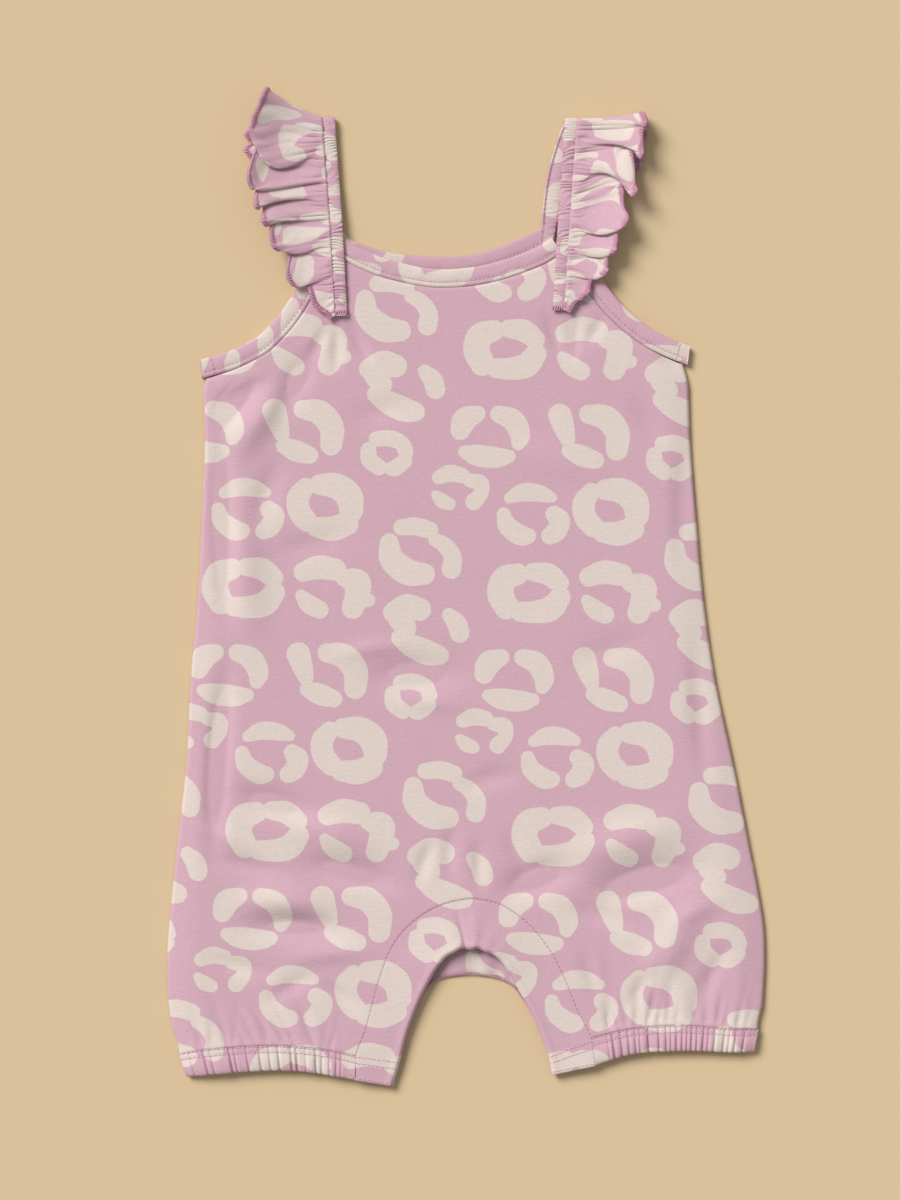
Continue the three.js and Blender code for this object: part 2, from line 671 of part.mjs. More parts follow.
const { pink, lightPink, deepPink } = cloth;
const {
  frontNeck: frontNeckCurve,
  backNeck: backNeckCurve,
  leftArmhole: leftArm,
  rightArmhole: rightArm,
} = curves;
const romper = new THREE.Group();
romper.name = "baby_romper";
romper.add(
  piece("front_body", pink, frontBody()),
  piece("back_body", deepPink, backBody()),
  piece("front_gusset", pink, frontGusset()),
  piece("back_gusset", deepPink, backGusset()),
  piece("front_neck_binding", lightPink, frontBinding(frontNeckCurve, neckColumns)),
  piece("back_neck_binding", lightPink, backBinding(backNeckCurve, neckColumns, 0)),
  piece("front_armhole_binding_left", lightPink, frontBinding(leftArm, armholeColumns)),
  piece("front_armhole_binding_right", lightPink, frontBinding(rightArm, armholeColumns)),
  piece("back_armhole_binding_left", deepPink, backBinding(leftArm, armholeColumns, backInset)),
  piece("back_armhole_binding_right", deepPink, backBinding(rightArm, armholeColumns, backInset)),
  piece("front_leg_hem_left", lightPink, frontHem(curves.leftHemTop, curves.leftHemEdge, leftHemGathers)),
  piece("front_leg_hem_right", lightPink, frontHem(curves.rightHemTop, curves.rightHemEdge, rightHemGathers)),
  piece("back_leg_hem_left", deepPink, backHem(curves.leftHemTop, curves.leftHemEdge)),
  piece("back_leg_hem_right", deepPink, backHem(curves.rightHemTop, curves.rightHemEdge)),
  piece("strap_left", lightPink, strap(straps.left)),
  piece("strap_right", lightPink, strap(straps.right)),
  piece("ruffle_left", pink, ruffle(straps.left, ruffleEdges.left, ruffleCrests.left)),
  piece("ruffle_right", pink, ruffle(straps.right, ruffleEdges.right, ruffleCrests.right)),
);

// The origin is under the middle of the romper, on the table
const bounds = new THREE.Box3().setFromObject(romper);
const centre = bounds.getCenter(new THREE.Vector3());
romper.position.set(-centre.x, -centre.y, -bounds.min.z);

export default romper;
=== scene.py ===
import math

import bpy
import numpy as np
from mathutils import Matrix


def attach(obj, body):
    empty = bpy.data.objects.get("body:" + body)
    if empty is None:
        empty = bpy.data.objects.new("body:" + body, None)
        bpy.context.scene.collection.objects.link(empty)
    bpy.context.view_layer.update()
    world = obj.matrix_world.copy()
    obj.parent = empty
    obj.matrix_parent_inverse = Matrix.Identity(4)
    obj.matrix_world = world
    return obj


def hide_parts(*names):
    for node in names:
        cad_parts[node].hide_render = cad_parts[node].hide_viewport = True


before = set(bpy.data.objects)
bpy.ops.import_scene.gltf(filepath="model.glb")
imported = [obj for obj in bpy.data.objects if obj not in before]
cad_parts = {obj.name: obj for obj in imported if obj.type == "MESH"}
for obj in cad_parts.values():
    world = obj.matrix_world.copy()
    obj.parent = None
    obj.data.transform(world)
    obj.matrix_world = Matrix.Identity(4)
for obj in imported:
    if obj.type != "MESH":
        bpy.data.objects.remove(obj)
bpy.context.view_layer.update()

bl_info = {
    "name": "Baby romper laid flat",
    "version": (1, 0, 0),
    "blender": (4, 5, 0),
    "location": "3D View > Sidebar > Romper",
    "description": "Cloth, print, sewing and stage of a baby romper around its packed part",
    "category": "Add Mesh",
}

# All tables are in millimetres of the garment: +X to its right, +Y towards the straps, +Z up from the table
MILLIMETRE = 0.001
# Where the tables' origin lies in the frame, in millimetres
GARMENT_ORIGIN = np.array([0.0151, 0.2264, 0.0])

# Width of the neck and armhole bindings
BINDING_WIDTH = 9.0
BINDING_SHOWN = 10.5
# Height over the table that the front bindings' section starts from
FRONT_BINDING_BASE = 2.3
STRAP_THICK = 2.0
STRAP_EDGES = 3.5
# How far a strap's back run goes on under the front neck binding
BACK_RUN_TUCK = 12.0
# How far in from its side seams the front reaches its full height
SIDE_ROLL = 16.0
# Height of the front panel's underside at its sides, and its wall, both as in the CAD
LOFT_UNDER = 1.5
CLOTH_WALL = 1.4
# The most that the front's loft and large folds add to that
TALLEST_HOLLOW = 5.2
# What the heights of folds and creases are multiplied by
FOLD_DEPTH = 2.9

# The two side seams: height up the garment, left edge, right edge
SIDE_SEAMS = [
    (-235, -134.4, 137.6), (-218, -139.6, 140.6), (-198, -142.8, 142.4), (-179, -143.3, 143.3),
    (-160, -142.1, 142.4), (-122, -138.2, 135.4), (-83, -133.9, 127.7), (-45, -132.0, 119.5),
    (-6, -128.6, 113.8), (32, -126.7, 110.4), (70, -125.3, 107.5), (99, -126.7, 106.6),
]

# How far the front stands off the back over an even body: height up the garment, loft
LOFT_ROWS = [(-236, 2.7), (-205, 2.6), (-150, 2.0), (-60, 1.7), (60, 1.5), (110, 1.1), (170, 0.9)]

# Soft folds of the front: centre x, y, direction in degrees, half length, half width, height
FOLDS = [
    (-112, 88, 52, 22, 6, -1.3), (-99, 80, 55, 30, 7, 1.1), (-83, 96, 60, 24, 6, -0.8),
    (-117, 28, 92, 62, 5, -1.3), (-106, 8, 95, 48, 8, 0.8), (-119, -84, 86, 62, 5, -1.3),
    (-24, -42, 2, 34, 8, -0.9), (-88, -106, -19, 34, 7, -1.1), (-66, -117, -21, 38, 7, 0.9),
    (-56, -137, -14, 32, 6, -1.1), (-88, -151, -8, 30, 7, 1.1), (-82, -163, -3, 34, 6, -1.1),
    (34, -140, 20, 28, 7, -1.1), (86, -141, 14, 40, 8, -1.3), (76, -122, 16, 40, 9, 0.9),
    (96, -176, 60, 34, 8, 0.9),
]

# Finer creases, in the same columns
CREASES = [
    (-52, 118, -58, 16, 3.2, -0.5), (-62, 114, -88, 15, 3.0, -0.45), (-71, 116, -118, 14, 3.2, -0.4),
    (42, 120, -66, 15, 3.2, -0.45), (52, 118, -96, 16, 3.4, -0.45), (62, 122, -122, 13, 3.2, -0.35),
    (-118, 104, 30, 13, 2.6, -0.5), (-108, 98, 24, 18, 3.4, 0.4), (99, 106, 150, 12, 2.8, -0.4),
    (-96, 44, 70, 26, 6, -0.5), (-74, 20, 12, 30, 6, -0.35), (-46, -30, 8, 26, 4, 0.35),
    (-16, -56, -6, 24, 4, 0.3), (12, -92, 14, 22, 5, -0.35), (-8, -128, 88, 20, 4, -0.4),
    (6, -134, 96, 16, 3.4, -0.5), (-20, -132, 70, 16, 3.6, -0.4), (24, -128, 118, 16, 4, -0.35),
    (-104, -134, -12, 26, 4.2, -0.5), (-116, -120, -26, 20, 4, 0.4), (-66, -176, 4, 30, 4.6, 0.5),
    (-108, -182, -16, 22, 4.4, -0.45), (-84, -192, 30, 20, 4, -0.4), (-60, -196, -36, 18, 3.2, -0.5),
    (66, -158, -14, 24, 5, -0.5), (108, -156, 26, 24, 5, 0.45), (118, -186, 66, 22, 4.2, -0.5),
    (84, -192, 56, 18, 4, -0.45), (104, -198, 100, 16, 3.4, 0.4), (60, -188, 112, 18, 3.4, -0.4),
    (112, -60, 94, 50, 5, -0.6), (104, 40, 88, 44, 5, -0.45), (70, -30, 20, 30, 7, -0.35),
    (40, 60, -18, 34, 7, 0.3), (-40, 84, 16, 26, 6, -0.3), (88, 78, 130, 20, 5, -0.4),
]

# Plan lines, each from the left of the garment to its right
FRONT_NECK = [
    (-59.0, 168.2), (-54.2, 164.0), (-44.2, 159.1), (-35.0, 155.8), (-20.2, 152.6), (-9.1, 151.9),
    (5.3, 153.2), (19.2, 156.7), (33.1, 162.0), (41.0, 166.8),
]
BACK_NECK = [
    (-59.0, 170.0), (-54.8, 165.8), (-47.5, 163.0), (-37.0, 160.1), (-25.9, 158.6), (-13.0, 157.9),
    (-1.9, 158.4), (8.6, 160.3), (19.2, 163.9), (29.8, 168.7), (35.6, 171.6),
]
LEFT_ARMHOLE = [
    (-127.4, 108.4), (-113.0, 112.8), (-100.9, 118.8), (-93.2, 126.0), (-87.7, 132.7), (-82.2, 141.4),
    (-77.8, 151.0), (-75.4, 157.0),
]
RIGHT_ARMHOLE = [
    (59.8, 158.0), (64.0, 149.7), (68.4, 142.5), (77.2, 132.6), (88.3, 123.8), (98.2, 118.6), (107.2, 115.0),
]
LEFT_HEM_TOP = [
    (-137.6, -224.2), (-124.8, -222.0), (-102.8, -220.3), (-84.5, -220.3), (-66.0, -222.3), (-53.0, -225.2),
]
LEFT_HEM_EDGE = [
    (-134.0, -234.9), (-124.8, -234.0), (-106.6, -232.4), (-91.1, -231.7), (-73.4, -232.8), (-53.6, -236.4),
]
RIGHT_HEM_TOP = [
    (60.0, -216.5), (65.1, -215.1), (74.9, -212.7), (84.8, -211.3), (98.9, -210.4), (113.0, -210.9),
    (127.1, -212.1), (139.9, -212.5),
]
RIGHT_HEM_EDGE = [
    (62.6, -229.8), (65.6, -228.2), (74.9, -225.0), (84.8, -223.2), (98.9, -222.5), (113.0, -222.5),
    (127.1, -223.1), (137.8, -222.9),
]
GUSSET_SEAM = [
    (-53.2, -236.6), (-53.0, -225.2), (-48.7, -213.8), (-45.8, -203.3), (-42.9, -192.2), (-39.6, -182.0),
    (-36.2, -174.0), (-31.2, -166.6), (-25.2, -160.7), (-18.6, -156.0), (-10.6, -152.3), (-2.4, -150.3),
    (4.2, -149.9), (16.7, -152.6), (29.9, -161.8), (40.9, -175.4), (47.5, -188.6), (53.4, -202.8),
    (60.0, -216.5), (61.8, -229.8),
]
BACK_CROTCH = [
    (-34.6, -238.8), (-31.4, -227.4), (-28.0, -215.0), (-24.4, -205.0), (-21.2, -198.4), (-18.2, -192.9),
    (-14.6, -189.6), (-8.4, -187.3), (1.9, -186.4), (10.6, -187.2), (17.6, -189.0), (22.8, -192.4),
    (27.9, -199.4), (32.4, -207.4), (36.4, -217.2), (39.0, -224.4), (40.8, -233.6),
]

# The front gusset's free edge: share of the seam it faces, x, y, rise of its underside
FRONT_CROTCH = [
    (0.0, -35.2, -239.6, 3.2), (0.054, -31.4, -227.0, 3.6), (0.107, -28.3, -214.8, 4.0),
    (0.157, -24.5, -204.2, 4.2), (0.209, -21.4, -197.0, 4.4), (0.258, -18.0, -190.3, 4.6),
    (0.297, -14.6, -184.1, 4.9), (0.338, -10.6, -178.9, 5.1), (0.388, -6.6, -175.6, 5.3),
    (0.448, -2.2, -174.0, 5.4), (0.508, 2.4, -173.6, 5.3), (0.568, 7.2, -174.3, 5.2),
    (0.628, 11.8, -176.0, 5.0), (0.677, 15.8, -178.8, 4.8), (0.724, 19.2, -183.1, 4.5),
    (0.768, 22.6, -189.0, 4.2), (0.819, 27.7, -198.2, 4.0), (0.87, 32.2, -206.8, 3.8),
    (0.922, 36.5, -216.8, 3.6), (0.952, 39.2, -224.4, 3.4), (1.0, 41.2, -234.2, 3.2),
]
# Puckers of the gusset where it turns: share of the seam, width, height, how fast it fades to the seam
PUCKERS = [
    (0.30, 0.03, 0.4, 1.6), (0.37, 0.026, 0.5, 1.2), (0.43, 0.028, 0.6, 0.9), (0.478, 0.012, -0.9, 0.8),
    (0.525, 0.026, 0.8, 0.7), (0.59, 0.03, 0.5, 1.2), (0.65, 0.026, 0.35, 1.4), (0.72, 0.03, 0.3, 1.6),
]


# Creases where the elastic gathers each leg: place across, depth, how far up the body it fades, slant
HEM_CREASES = {
    "left": [
        (-133.0, 0.5, 6, 0.1), (-126.2, 0.9, 12, -0.2), (-122.9, 0.6, 8, 0.1), (-113.8, 1.3, 16, -0.3),
        (-111.4, 0.7, 9, 0.1), (-105.6, 0.8, 14, -0.4), (-99.4, 0.9, 20, -0.5), (-94.6, 0.7, 10, -0.3),
        (-90.2, 1.1, 24, -0.7), (-84.0, 1.2, 26, -0.8), (-81.4, 1.3, 14, -0.5), (-77.0, 0.5, 8, 0.0),
        (-72.0, 1.0, 18, -0.4), (-69.1, 0.7, 9, 0.2), (-65.3, 0.8, 12, 0.3), (-61.9, 0.7, 10, 0.3),
        (-59.6, 0.5, 8, 0.2),
    ],
    "right": [
        (67.2, 0.6, 10, 0.1), (69.8, 1.3, 28, -0.25), (73.7, 1.0, 20, -0.3), (77.3, 0.9, 15, -0.2),
        (80.6, 0.8, 18, 0.1), (82.8, 0.6, 9, 0.1), (86.9, 1.3, 24, 0.2), (92.2, 0.9, 14, 0.1),
        (95.8, 0.8, 20, 0.1), (98.1, 0.6, 8, 0.0), (100.9, 0.9, 16, 0.1), (103.7, 0.8, 12, 0.1),
        (106.0, 0.6, 9, 0.1), (108.3, 0.9, 18, 0.15), (110.9, 0.7, 10, 0.1), (114.0, 0.9, 15, 0.1),
        (116.4, 0.6, 8, 0.1), (119.5, 1.0, 20, 0.2), (124.1, 0.9, 14, 0.15), (126.6, 0.5, 8, 0.1),
        (129.6, 0.9, 18, 0.2), (133.9, 0.8, 12, 0.2),
    ],
}


# Strap centre lines: y, x, z
STRAPS = {
    "left": {
        "outward": -1, "width": 7.0, "back_bow": 0.0, "back_foot": 0.0, "back_wider": 0.0,
        "front": [(129.2, -60.2, 5.6), (151.9, -61.4, 5.7), (167.0, -62.2, 5.7), (182.0, -63.2, 4.4),
                  (196.0, -64.3, 3.4), (223.0, -66.2, 3.4)],
        "back": [(223.0, -66.2, 1.0), (196.0, -64.6, 1.0), (170.6, -63.0, 1.0)],
    },
    "right": {
        "outward": 1, "width": 6.6, "back_bow": -1.6, "back_foot": 1.0, "back_wider": 0.4,
        "front": [(132.0, 44.6, 5.6), (151.9, 45.8, 5.7), (168.2, 46.8, 5.7), (182.0, 47.8, 4.4),
                  (196.0, 48.7, 3.4), (222.4, 50.6, 3.4)],
        "back": [(222.4, 50.2, 1.0), (196.0, 44.4, 1.0), (173.6, 39.6, 1.0)],
    },
}

# Free edge of each ruffle: share of the strap, x, y, lift over the strap, wave height
RUFFLE_EDGES = {
    "left": [
        (0.0, -65.4, 127.6, 0.0, 0.1), (0.1, -73.0, 136.0, 0.6, 0.6), (0.2, -81.6, 146.0, 1.6, 1.0),
        (0.32, -87.2, 158.0, 2.6, 1.6), (0.45, -93.6, 170.0, 4.6, 2.4), (0.58, -99.2, 182.4, 6.6, 2.8),
        (0.7, -101.6, 194.4, 7.4, 3.0), (0.82, -102.4, 207.0, 8.0, 3.0), (0.92, -103.2, 220.0, 8.4, 2.6),
        (1.0, -97.6, 234.0, 8.8, 1.2),
    ],
    "right": [
        (0.0, 49.6, 130.6, 0.0, 0.1), (0.1, 57.2, 140.4, 0.6, 0.6), (0.2, 64.2, 149.4, 1.6, 1.0),
        (0.32, 69.0, 160.0, 2.6, 1.6), (0.45, 73.6, 171.4, 4.6, 2.4), (0.58, 76.6, 184.2, 6.6, 2.8),
        (0.7, 80.0, 196.0, 7.4, 3.0), (0.82, 82.4, 206.6, 8.0, 3.0), (0.92, 85.0, 215.4, 8.4, 2.6),
        (1.0, 86.4, 222.6, 8.8, 1.2),
    ],
}

# Large folds of each ruffle: crest's place along the free edge, lean down over the next, reach, slope
RUFFLE_FOLDS = {
    "left": [(0.07, 2.2, 0.4, 0.0), (0.25, 4.4, 1.2, 0.3), (0.41, 4.2, 1.0, 0.2), (0.51, 3.0, 0.6, -0.2),
             (0.6, 3.6, 1.2, -0.4), (0.74, 6.4, 1.8, 0.7), (0.95, 5.4, 1.2, 0.5)],
    "right": [(0.1, 2.4, 0.6, 0.2), (0.25, 3.6, 1.2, 0.5), (0.36, 3.4, 1.0, 0.3), (0.51, 5.0, 1.6, 0.5),
              (0.68, 6.0, 1.8, -0.5), (0.86, 5.0, 1.0, -0.6), (0.99, 2.6, 0.6, -0.2)],
}

# The photo's leopard repeat, charted from enlarged crops. Two steps carry it over the cloth. Each
# spot has a centre and lobes, and each lobe a layer, so that neighbours keep a crisp notch, and a chain
# of x, y, radius
REPEAT = np.array([(11.5, -116.6), (-136.8, 2.4)])
SPOTS = [
    ((18.7, 113.5), [
        (0, [(-5.5, 8.8, 5.8), (-11.8, 6.4, 6.8), (-13.8, -0.4, 7.0), (-10.8, -7.0, 6.6)]),
        (1, [(1.6, 9.8, 5.0), (9.0, 8.8, 6.0), (14.4, 4.6, 5.4)]),
        (2, [(14.8, -2.4, 5.8), (10.2, -7.8, 6.6), (2.4, -9.4, 6.0), (-4.4, -9.2, 5.4)]),
    ]),
    ((62.4, 113.0), [
        (0, [(-15.0, 8.0, 5.4), (-7.6, 10.2, 6.4), (0.4, 9.0, 6.0)]),
        (1, [(4.6, 5.0, 4.8), (11.0, 3.0, 6.8), (10.4, -4.0, 6.4), (8.6, -9.2, 6.0)]),
        (1, [(11.0, -5.0, 5.0), (16.4, -5.6, 3.8)]),
        (2, [(-16.2, -3.2, 3.4), (-12.4, -7.4, 5.2), (-7.2, -10.2, 5.0)]),
    ]),
    ((-29.8, 94.8), [
        (0, [(-16.6, 9.2, 5.6), (-10.2, 12.0, 6.6), (-4.0, 10.6, 6.2)]),
        (0, [(-13.6, 5.4, 5.8), (-10.2, 1.6, 5.4)]),
        (1, [(-13.6, -3.0, 4.8), (-7.6, -6.8, 6.2), (0.0, -10.2, 6.6), (5.6, -11.4, 5.2)]),
        (2, [(10.0, 8.0, 4.0), (13.8, 3.8, 5.4), (15.2, -0.6, 5.4)]),
    ]),
    ((11.0, 72.7), [
        (0, [(-5.6, 9.8, 4.6), (-11.6, 7.0, 6.4), (-13.8, 1.8, 5.4)]),
        (1, [(4.6, 9.6, 4.8), (11.4, 6.8, 6.0), (14.8, 0.2, 5.6), (14.0, -4.4, 4.0)]),
        (2, [(-12.0, -8.4, 3.6), (-5.4, -10.2, 5.8), (3.6, -11.2, 5.6), (9.6, -10.6, 3.8)]),
    ]),
    ((60.0, 72.2), [
        (0, [(-15.0, 9.4, 6.4), (-13.0, 3.2, 5.6), (-11.4, -1.8, 4.4)]),
        (1, [(-1.4, 10.0, 5.2), (6.8, 8.4, 6.6), (12.4, 1.4, 6.6), (12.2, -6.8, 6.0)]),
        (2, [(-10.4, -7.4, 4.6), (-4.4, -10.0, 5.8), (2.0, -12.0, 4.8)]),
    ]),
    ((-37.9, 63.6), [
        (0, [(-5.0, 6.8, 4.4), (1.0, 7.2, 4.6), (7.0, 4.8, 4.4), (9.0, 0.6, 4.4)]),
        (1, [(-8.8, 1.6, 4.4), (-8.4, -3.0, 4.8), (-4.0, -6.8, 4.6)]),
        (2, [(8.4, -3.8, 4.4), (4.2, -7.0, 4.6), (1.8, -7.4, 4.0)]),
    ]),
    ((-2.9, 46.8), [
        (0, [(-10.2, 5.2, 4.0), (-5.0, 7.2, 4.8), (0.8, 6.2, 4.4)]),
        (1, [(4.6, 3.8, 4.0), (9.8, 2.4, 4.6), (10.0, -2.6, 4.2), (6.6, -6.4, 4.8)]),
        (2, [(-11.8, -3.0, 2.8), (-8.6, -6.0, 4.2), (-5.0, -7.6, 3.6)]),
    ]),
    ((32.2, 33.8), [
        (0, [(-11.4, 8.4, 3.4), (-4.8, 11.0, 5.0), (2.8, 10.6, 4.8), (8.8, 8.6, 3.2)]),
        (1, [(-14.2, 0.6, 4.0), (-12.4, -5.0, 5.2), (-6.4, -9.4, 5.6), (-2.6, -9.8, 4.6)]),
        (2, [(9.8, 0.6, 4.8), (13.0, -2.4, 5.4), (11.0, -7.4, 5.6), (7.8, -9.8, 4.8)]),
    ]),
    ((69.1, 35.3), [
        (0, [(-2.6, 10.8, 5.6), (5.4, 10.2, 6.8), (11.6, 5.4, 7.2), (12.8, -1.4, 6.4)]),
        (1, [(-9.2, 9.8, 5.0), (-12.8, 4.4, 6.0), (-12.0, -2.4, 6.0), (-8.4, -6.8, 5.8)]),
        (2, [(-3.6, -9.6, 5.6), (4.0, -10.2, 6.6), (10.6, -7.8, 6.4)]),
    ]),
    ((-20.6, 16.1), [
        (0, [(-10.4, 12.0, 4.6), (-3.4, 12.4, 5.0), (3.2, 10.6, 4.8)]),
        (1, [(-16.2, 4.6, 5.2), (-15.0, -3.2, 6.6), (-7.4, -9.4, 7.0), (0.6, -10.4, 5.8)]),
        (2, [(5.8, 6.0, 4.0), (10.6, 3.2, 4.6), (14.2, -2.2, 5.0), (13.6, -8.0, 5.4)]),
    ]),
]


def lobe_beads(chain, steps=5):
    """A lobe's chain of x, y, radius made fine along a smooth curve."""
    rows = [(k, *bead) for k, bead in enumerate(chain)]
    fine = np.linspace(0, len(chain) - 1, (len(chain) - 1) * steps + 1)
    return np.column_stack([column(rows, k)(fine) for k in (1, 2, 3)])


# Distances beyond this, in millimetres, are all plain ground
SPOT_REACH = 9.0
# How far a printed edge stays inside its charted lobe
SPOT_TRIM = 0.7

# No lobe goes farther than this from its spot's centre
LARGEST_SPOT = 24.0

# Where each piece was cut from the printed cloth: shift of the repeat, turn in degrees
CUTS = {
    "body": ((0.0, 0.0), 0.0), "back": ((38.0, -21.0), 0.0), "neck": ((21.0, 33.0), 8.0),
    "back_neck": ((-34.0, 12.0), 0.0), "armhole_left": ((-18.0, 27.0), 40.0),
    "armhole_right": ((9.0, -14.0), -38.0), "hem_left": ((0.0, 0.0), 0.0), "hem_right": ((0.0, 0.0), 0.0),
    "strap_left": ((12.0, 70.0), 0.0), "strap_right": ((-6.0, 31.0), 0.0),
    "ruffle_left": ((14.0, -9.0), 12.0), "ruffle_right": ((-21.0, 17.0), -16.0),
}

# Numbers and curves

def mix(a, b, t):
    return a + (b - a) * t


def clamp(t):
    return np.clip(t, 0.0, 1.0)


def soft(t):
    return clamp(t) ** 2 * (3 - 2 * clamp(t))


def column(rows, index):
    """A column of a table as a smooth function of its first column."""
    table = np.array([[row[0], row[index]] for row in rows], float)
    table = table[np.argsort(table[:, 0])]
    at, value = table[:, 0], table[:, 1]
    last = len(at) - 1
    before, after = np.maximum(np.arange(last + 1) - 1, 0), np.minimum(np.arange(last + 1) + 1, last)
    slope = (value[after] - value[before]) / (at[after] - at[before])

    def read(place):
        place = np.asarray(place, float)
        i = np.clip(np.searchsorted(at, place, side="right") - 1, 0, last - 1)
        span = at[i + 1] - at[i]
        t = clamp((place - at[i]) / span)
        bend = (t - 2 * t * t + t ** 3) * slope[i] + (t ** 3 - t * t) * slope[i + 1]
        return mix(value[i], value[i + 1], t * t * (3 - 2 * t)) + span * bend

    return read


def reach_along(line):
    """How far each point of a line lies along it."""
    return np.concatenate([[0.0], np.cumsum(np.linalg.norm(np.diff(line, axis=0), axis=1))])


def read_line(line, reach, at):
    """Places on a line of points at given distances along it."""
    return np.stack([np.interp(at, reach, line[:, k]) for k in range(line.shape[1])], -1)


class PlanCurve:
    """A smooth plan line through points, read by its share of length and a sideways offset."""

    fineness = 60
    nearness = 0.004

    def __init__(self, points):
        p = np.array(points, float)
        last = len(p) - 1
        t = np.linspace(0, last, last * self.fineness + 1)
        i = np.minimum(t.astype(int), last - 1)
        w = (t - i)[:, None]
        a, b, c, d = p[np.maximum(i - 1, 0)], p[i], p[i + 1], p[np.minimum(i + 2, last)]
        start, end = (c - a) / 2, (d - b) / 2
        self.line = ((2 * b - 2 * c + start + end) * w ** 3 + (3 * c - 3 * b - 2 * start - end) * w ** 2
                     + start * w + b)
        self.reach = reach_along(self.line)
        self.length = self.reach[-1]
        self.reach /= self.length

    def at(self, share, offset=0.0):
        share = np.asarray(share, float)
        after, before = np.clip(share + self.nearness, 0, 1), np.clip(share - self.nearness, 0, 1)
        along = read_line(self.line, self.reach, after) - read_line(self.line, self.reach, before)
        along /= np.linalg.norm(along, axis=-1, keepdims=True)
        side = np.stack([along[..., 1], -along[..., 0]], -1)
        return read_line(self.line, self.reach, share) + side * np.asarray(offset, float)[..., None]

    def share_of(self, point):
        return self.reach[point * self.fineness]


curves = {
    "front_neck": PlanCurve(FRONT_NECK), "back_neck": PlanCurve(BACK_NECK),
    "armhole_left": PlanCurve(LEFT_ARMHOLE), "armhole_right": PlanCurve(RIGHT_ARMHOLE),
    "hem_top_left": PlanCurve(LEFT_HEM_TOP), "hem_edge_left": PlanCurve(LEFT_HEM_EDGE),
    "hem_top_right": PlanCurve(RIGHT_HEM_TOP), "hem_edge_right": PlanCurve(RIGHT_HEM_EDGE),
    "gusset": PlanCurve(GUSSET_SEAM), "back_crotch": PlanCurve(BACK_CROTCH),
}
arch_from = curves["gusset"].share_of(1)
arch_to = curves["gusset"].share_of(len(GUSSET_SEAM) - 2)
left_side, right_side = column(SIDE_SEAMS, 1), column(SIDE_SEAMS, 2)
loft_at = column(LOFT_ROWS, 1)


def wander(at, count, seed, low=0.0, high=1.0):
    """A smooth wandering value over 0 to 1, through random heights."""
    heights = np.random.default_rng(seed).uniform(low, high, count + 1)
    return column([(k / count, height) for k, height in enumerate(heights)], 1)(at)


def fold_heights(x, y, rows):
    """Height of soft folds over places on the panel."""
    total = np.zeros_like(x)
    for fold_x, fold_y, turn, reach, spread, height in rows:
        turn = math.radians(turn)
        dx, dy = x - fold_x, y - fold_y
        along = (dx * math.cos(turn) + dy * math.sin(turn)) / reach
        across = (dy * math.cos(turn) - dx * math.sin(turn)) / spread
        bow = across + 0.35 * along ** 2
        total += np.where(np.abs(along) < 1, height * np.cos(np.clip(along, -1, 1) * math.pi / 2) ** 2
                          * np.exp(-bow ** 2), 0.0)
    return total


def front_rise(x, y):
    """Height of the front's upper face over the table, before its sides roll under."""
    from_side = np.minimum(x - left_side(y), right_side(y) - x)
    roll = np.sin(clamp(from_side / SIDE_ROLL) * math.pi / 2)
    hollow = loft_at(y) + FOLD_DEPTH * fold_heights(x, y, FOLDS)
    hollow = clamp(hollow / TALLEST_HOLLOW) * TALLEST_HOLLOW
    fine = FOLD_DEPTH * fold_heights(x, y, CREASES) * (0.4 + 0.6 * roll)
    return LOFT_UNDER + CLOTH_WALL + roll * hollow + fine


def gathered_share(side, x):
    """1 where the elastic gathers a leg and 0 on its flat end beside the gusset."""
    return soft((-56.0 - x) / 7.0) if side == "left" else soft((x - 63.0) / 7.0)


def hem_valleys(side, x, above):
    """Depth of the gathers' creases at places on or over a hem."""
    total = np.zeros_like(x)
    for place, depth, length, slant in HEM_CREASES[side]:
        away = np.abs(x - place - slant * above) / (0.62 + 0.13 * above)
        total += depth * np.exp(-away ** 1.4 - above / length)
    return total


def hem_waves(side, x, y):
    """Lift and creases of the cloth at and over an elastic hem."""
    top = curves["hem_top_" + side].line
    above = np.maximum(y - np.interp(x, top[:, 0], top[:, 1]), 0)
    gathered = gathered_share(side, x)
    swell = 0.45 + 0.35 * np.sin(0.8 * x + 0.04 * above ** 1.5) * np.exp(-above / 20) * soft(above / 4)
    sewn_flat = 0.5 + 1.1 * soft(above / 4.5)
    return gathered * (swell * np.exp(-above / 13) - sewn_flat * hem_valleys(side, x, above))


# The charted print

def print_layers(x, y, cut):
    """Distance to the edge of the nearest lobe in each of the print's three layers, in millimetres."""
    (shift_x, shift_y), turn = CUTS[cut]
    turn = math.radians(turn)
    place = np.stack([x * math.cos(turn) - y * math.sin(turn) + shift_x,
                      x * math.sin(turn) + y * math.cos(turn) + shift_y], -1)
    layers = np.full((len(place), 3), SPOT_REACH)
    for centre, lobes in SPOTS:
        steps = (place - centre) @ np.linalg.inv(REPEAT)
        near = (steps - np.round(steps)) @ REPEAT
        close = np.flatnonzero(np.abs(near).max(axis=1) < LARGEST_SPOT + SPOT_REACH)
        near = near[close]
        for layer, chain in lobes:
            beads = lobe_beads(chain)
            for (ax, ay, ar), (bx, by, br) in zip(beads, beads[1:]):
                leg = np.array([bx - ax, by - ay])
                t = clamp(((near - (ax, ay)) @ leg) / (leg @ leg))
                gap = np.hypot(near[:, 0] - ax - t * leg[0], near[:, 1] - ay - t * leg[1])
                layers[close, layer] = np.minimum(layers[close, layer], gap - mix(ar, br, t) + SPOT_TRIM)
    return layers


# Meshes

def to_metres(points):
    return (np.asarray(points, float).reshape(-1, 3) + GARMENT_ORIGIN) * MILLIMETRE


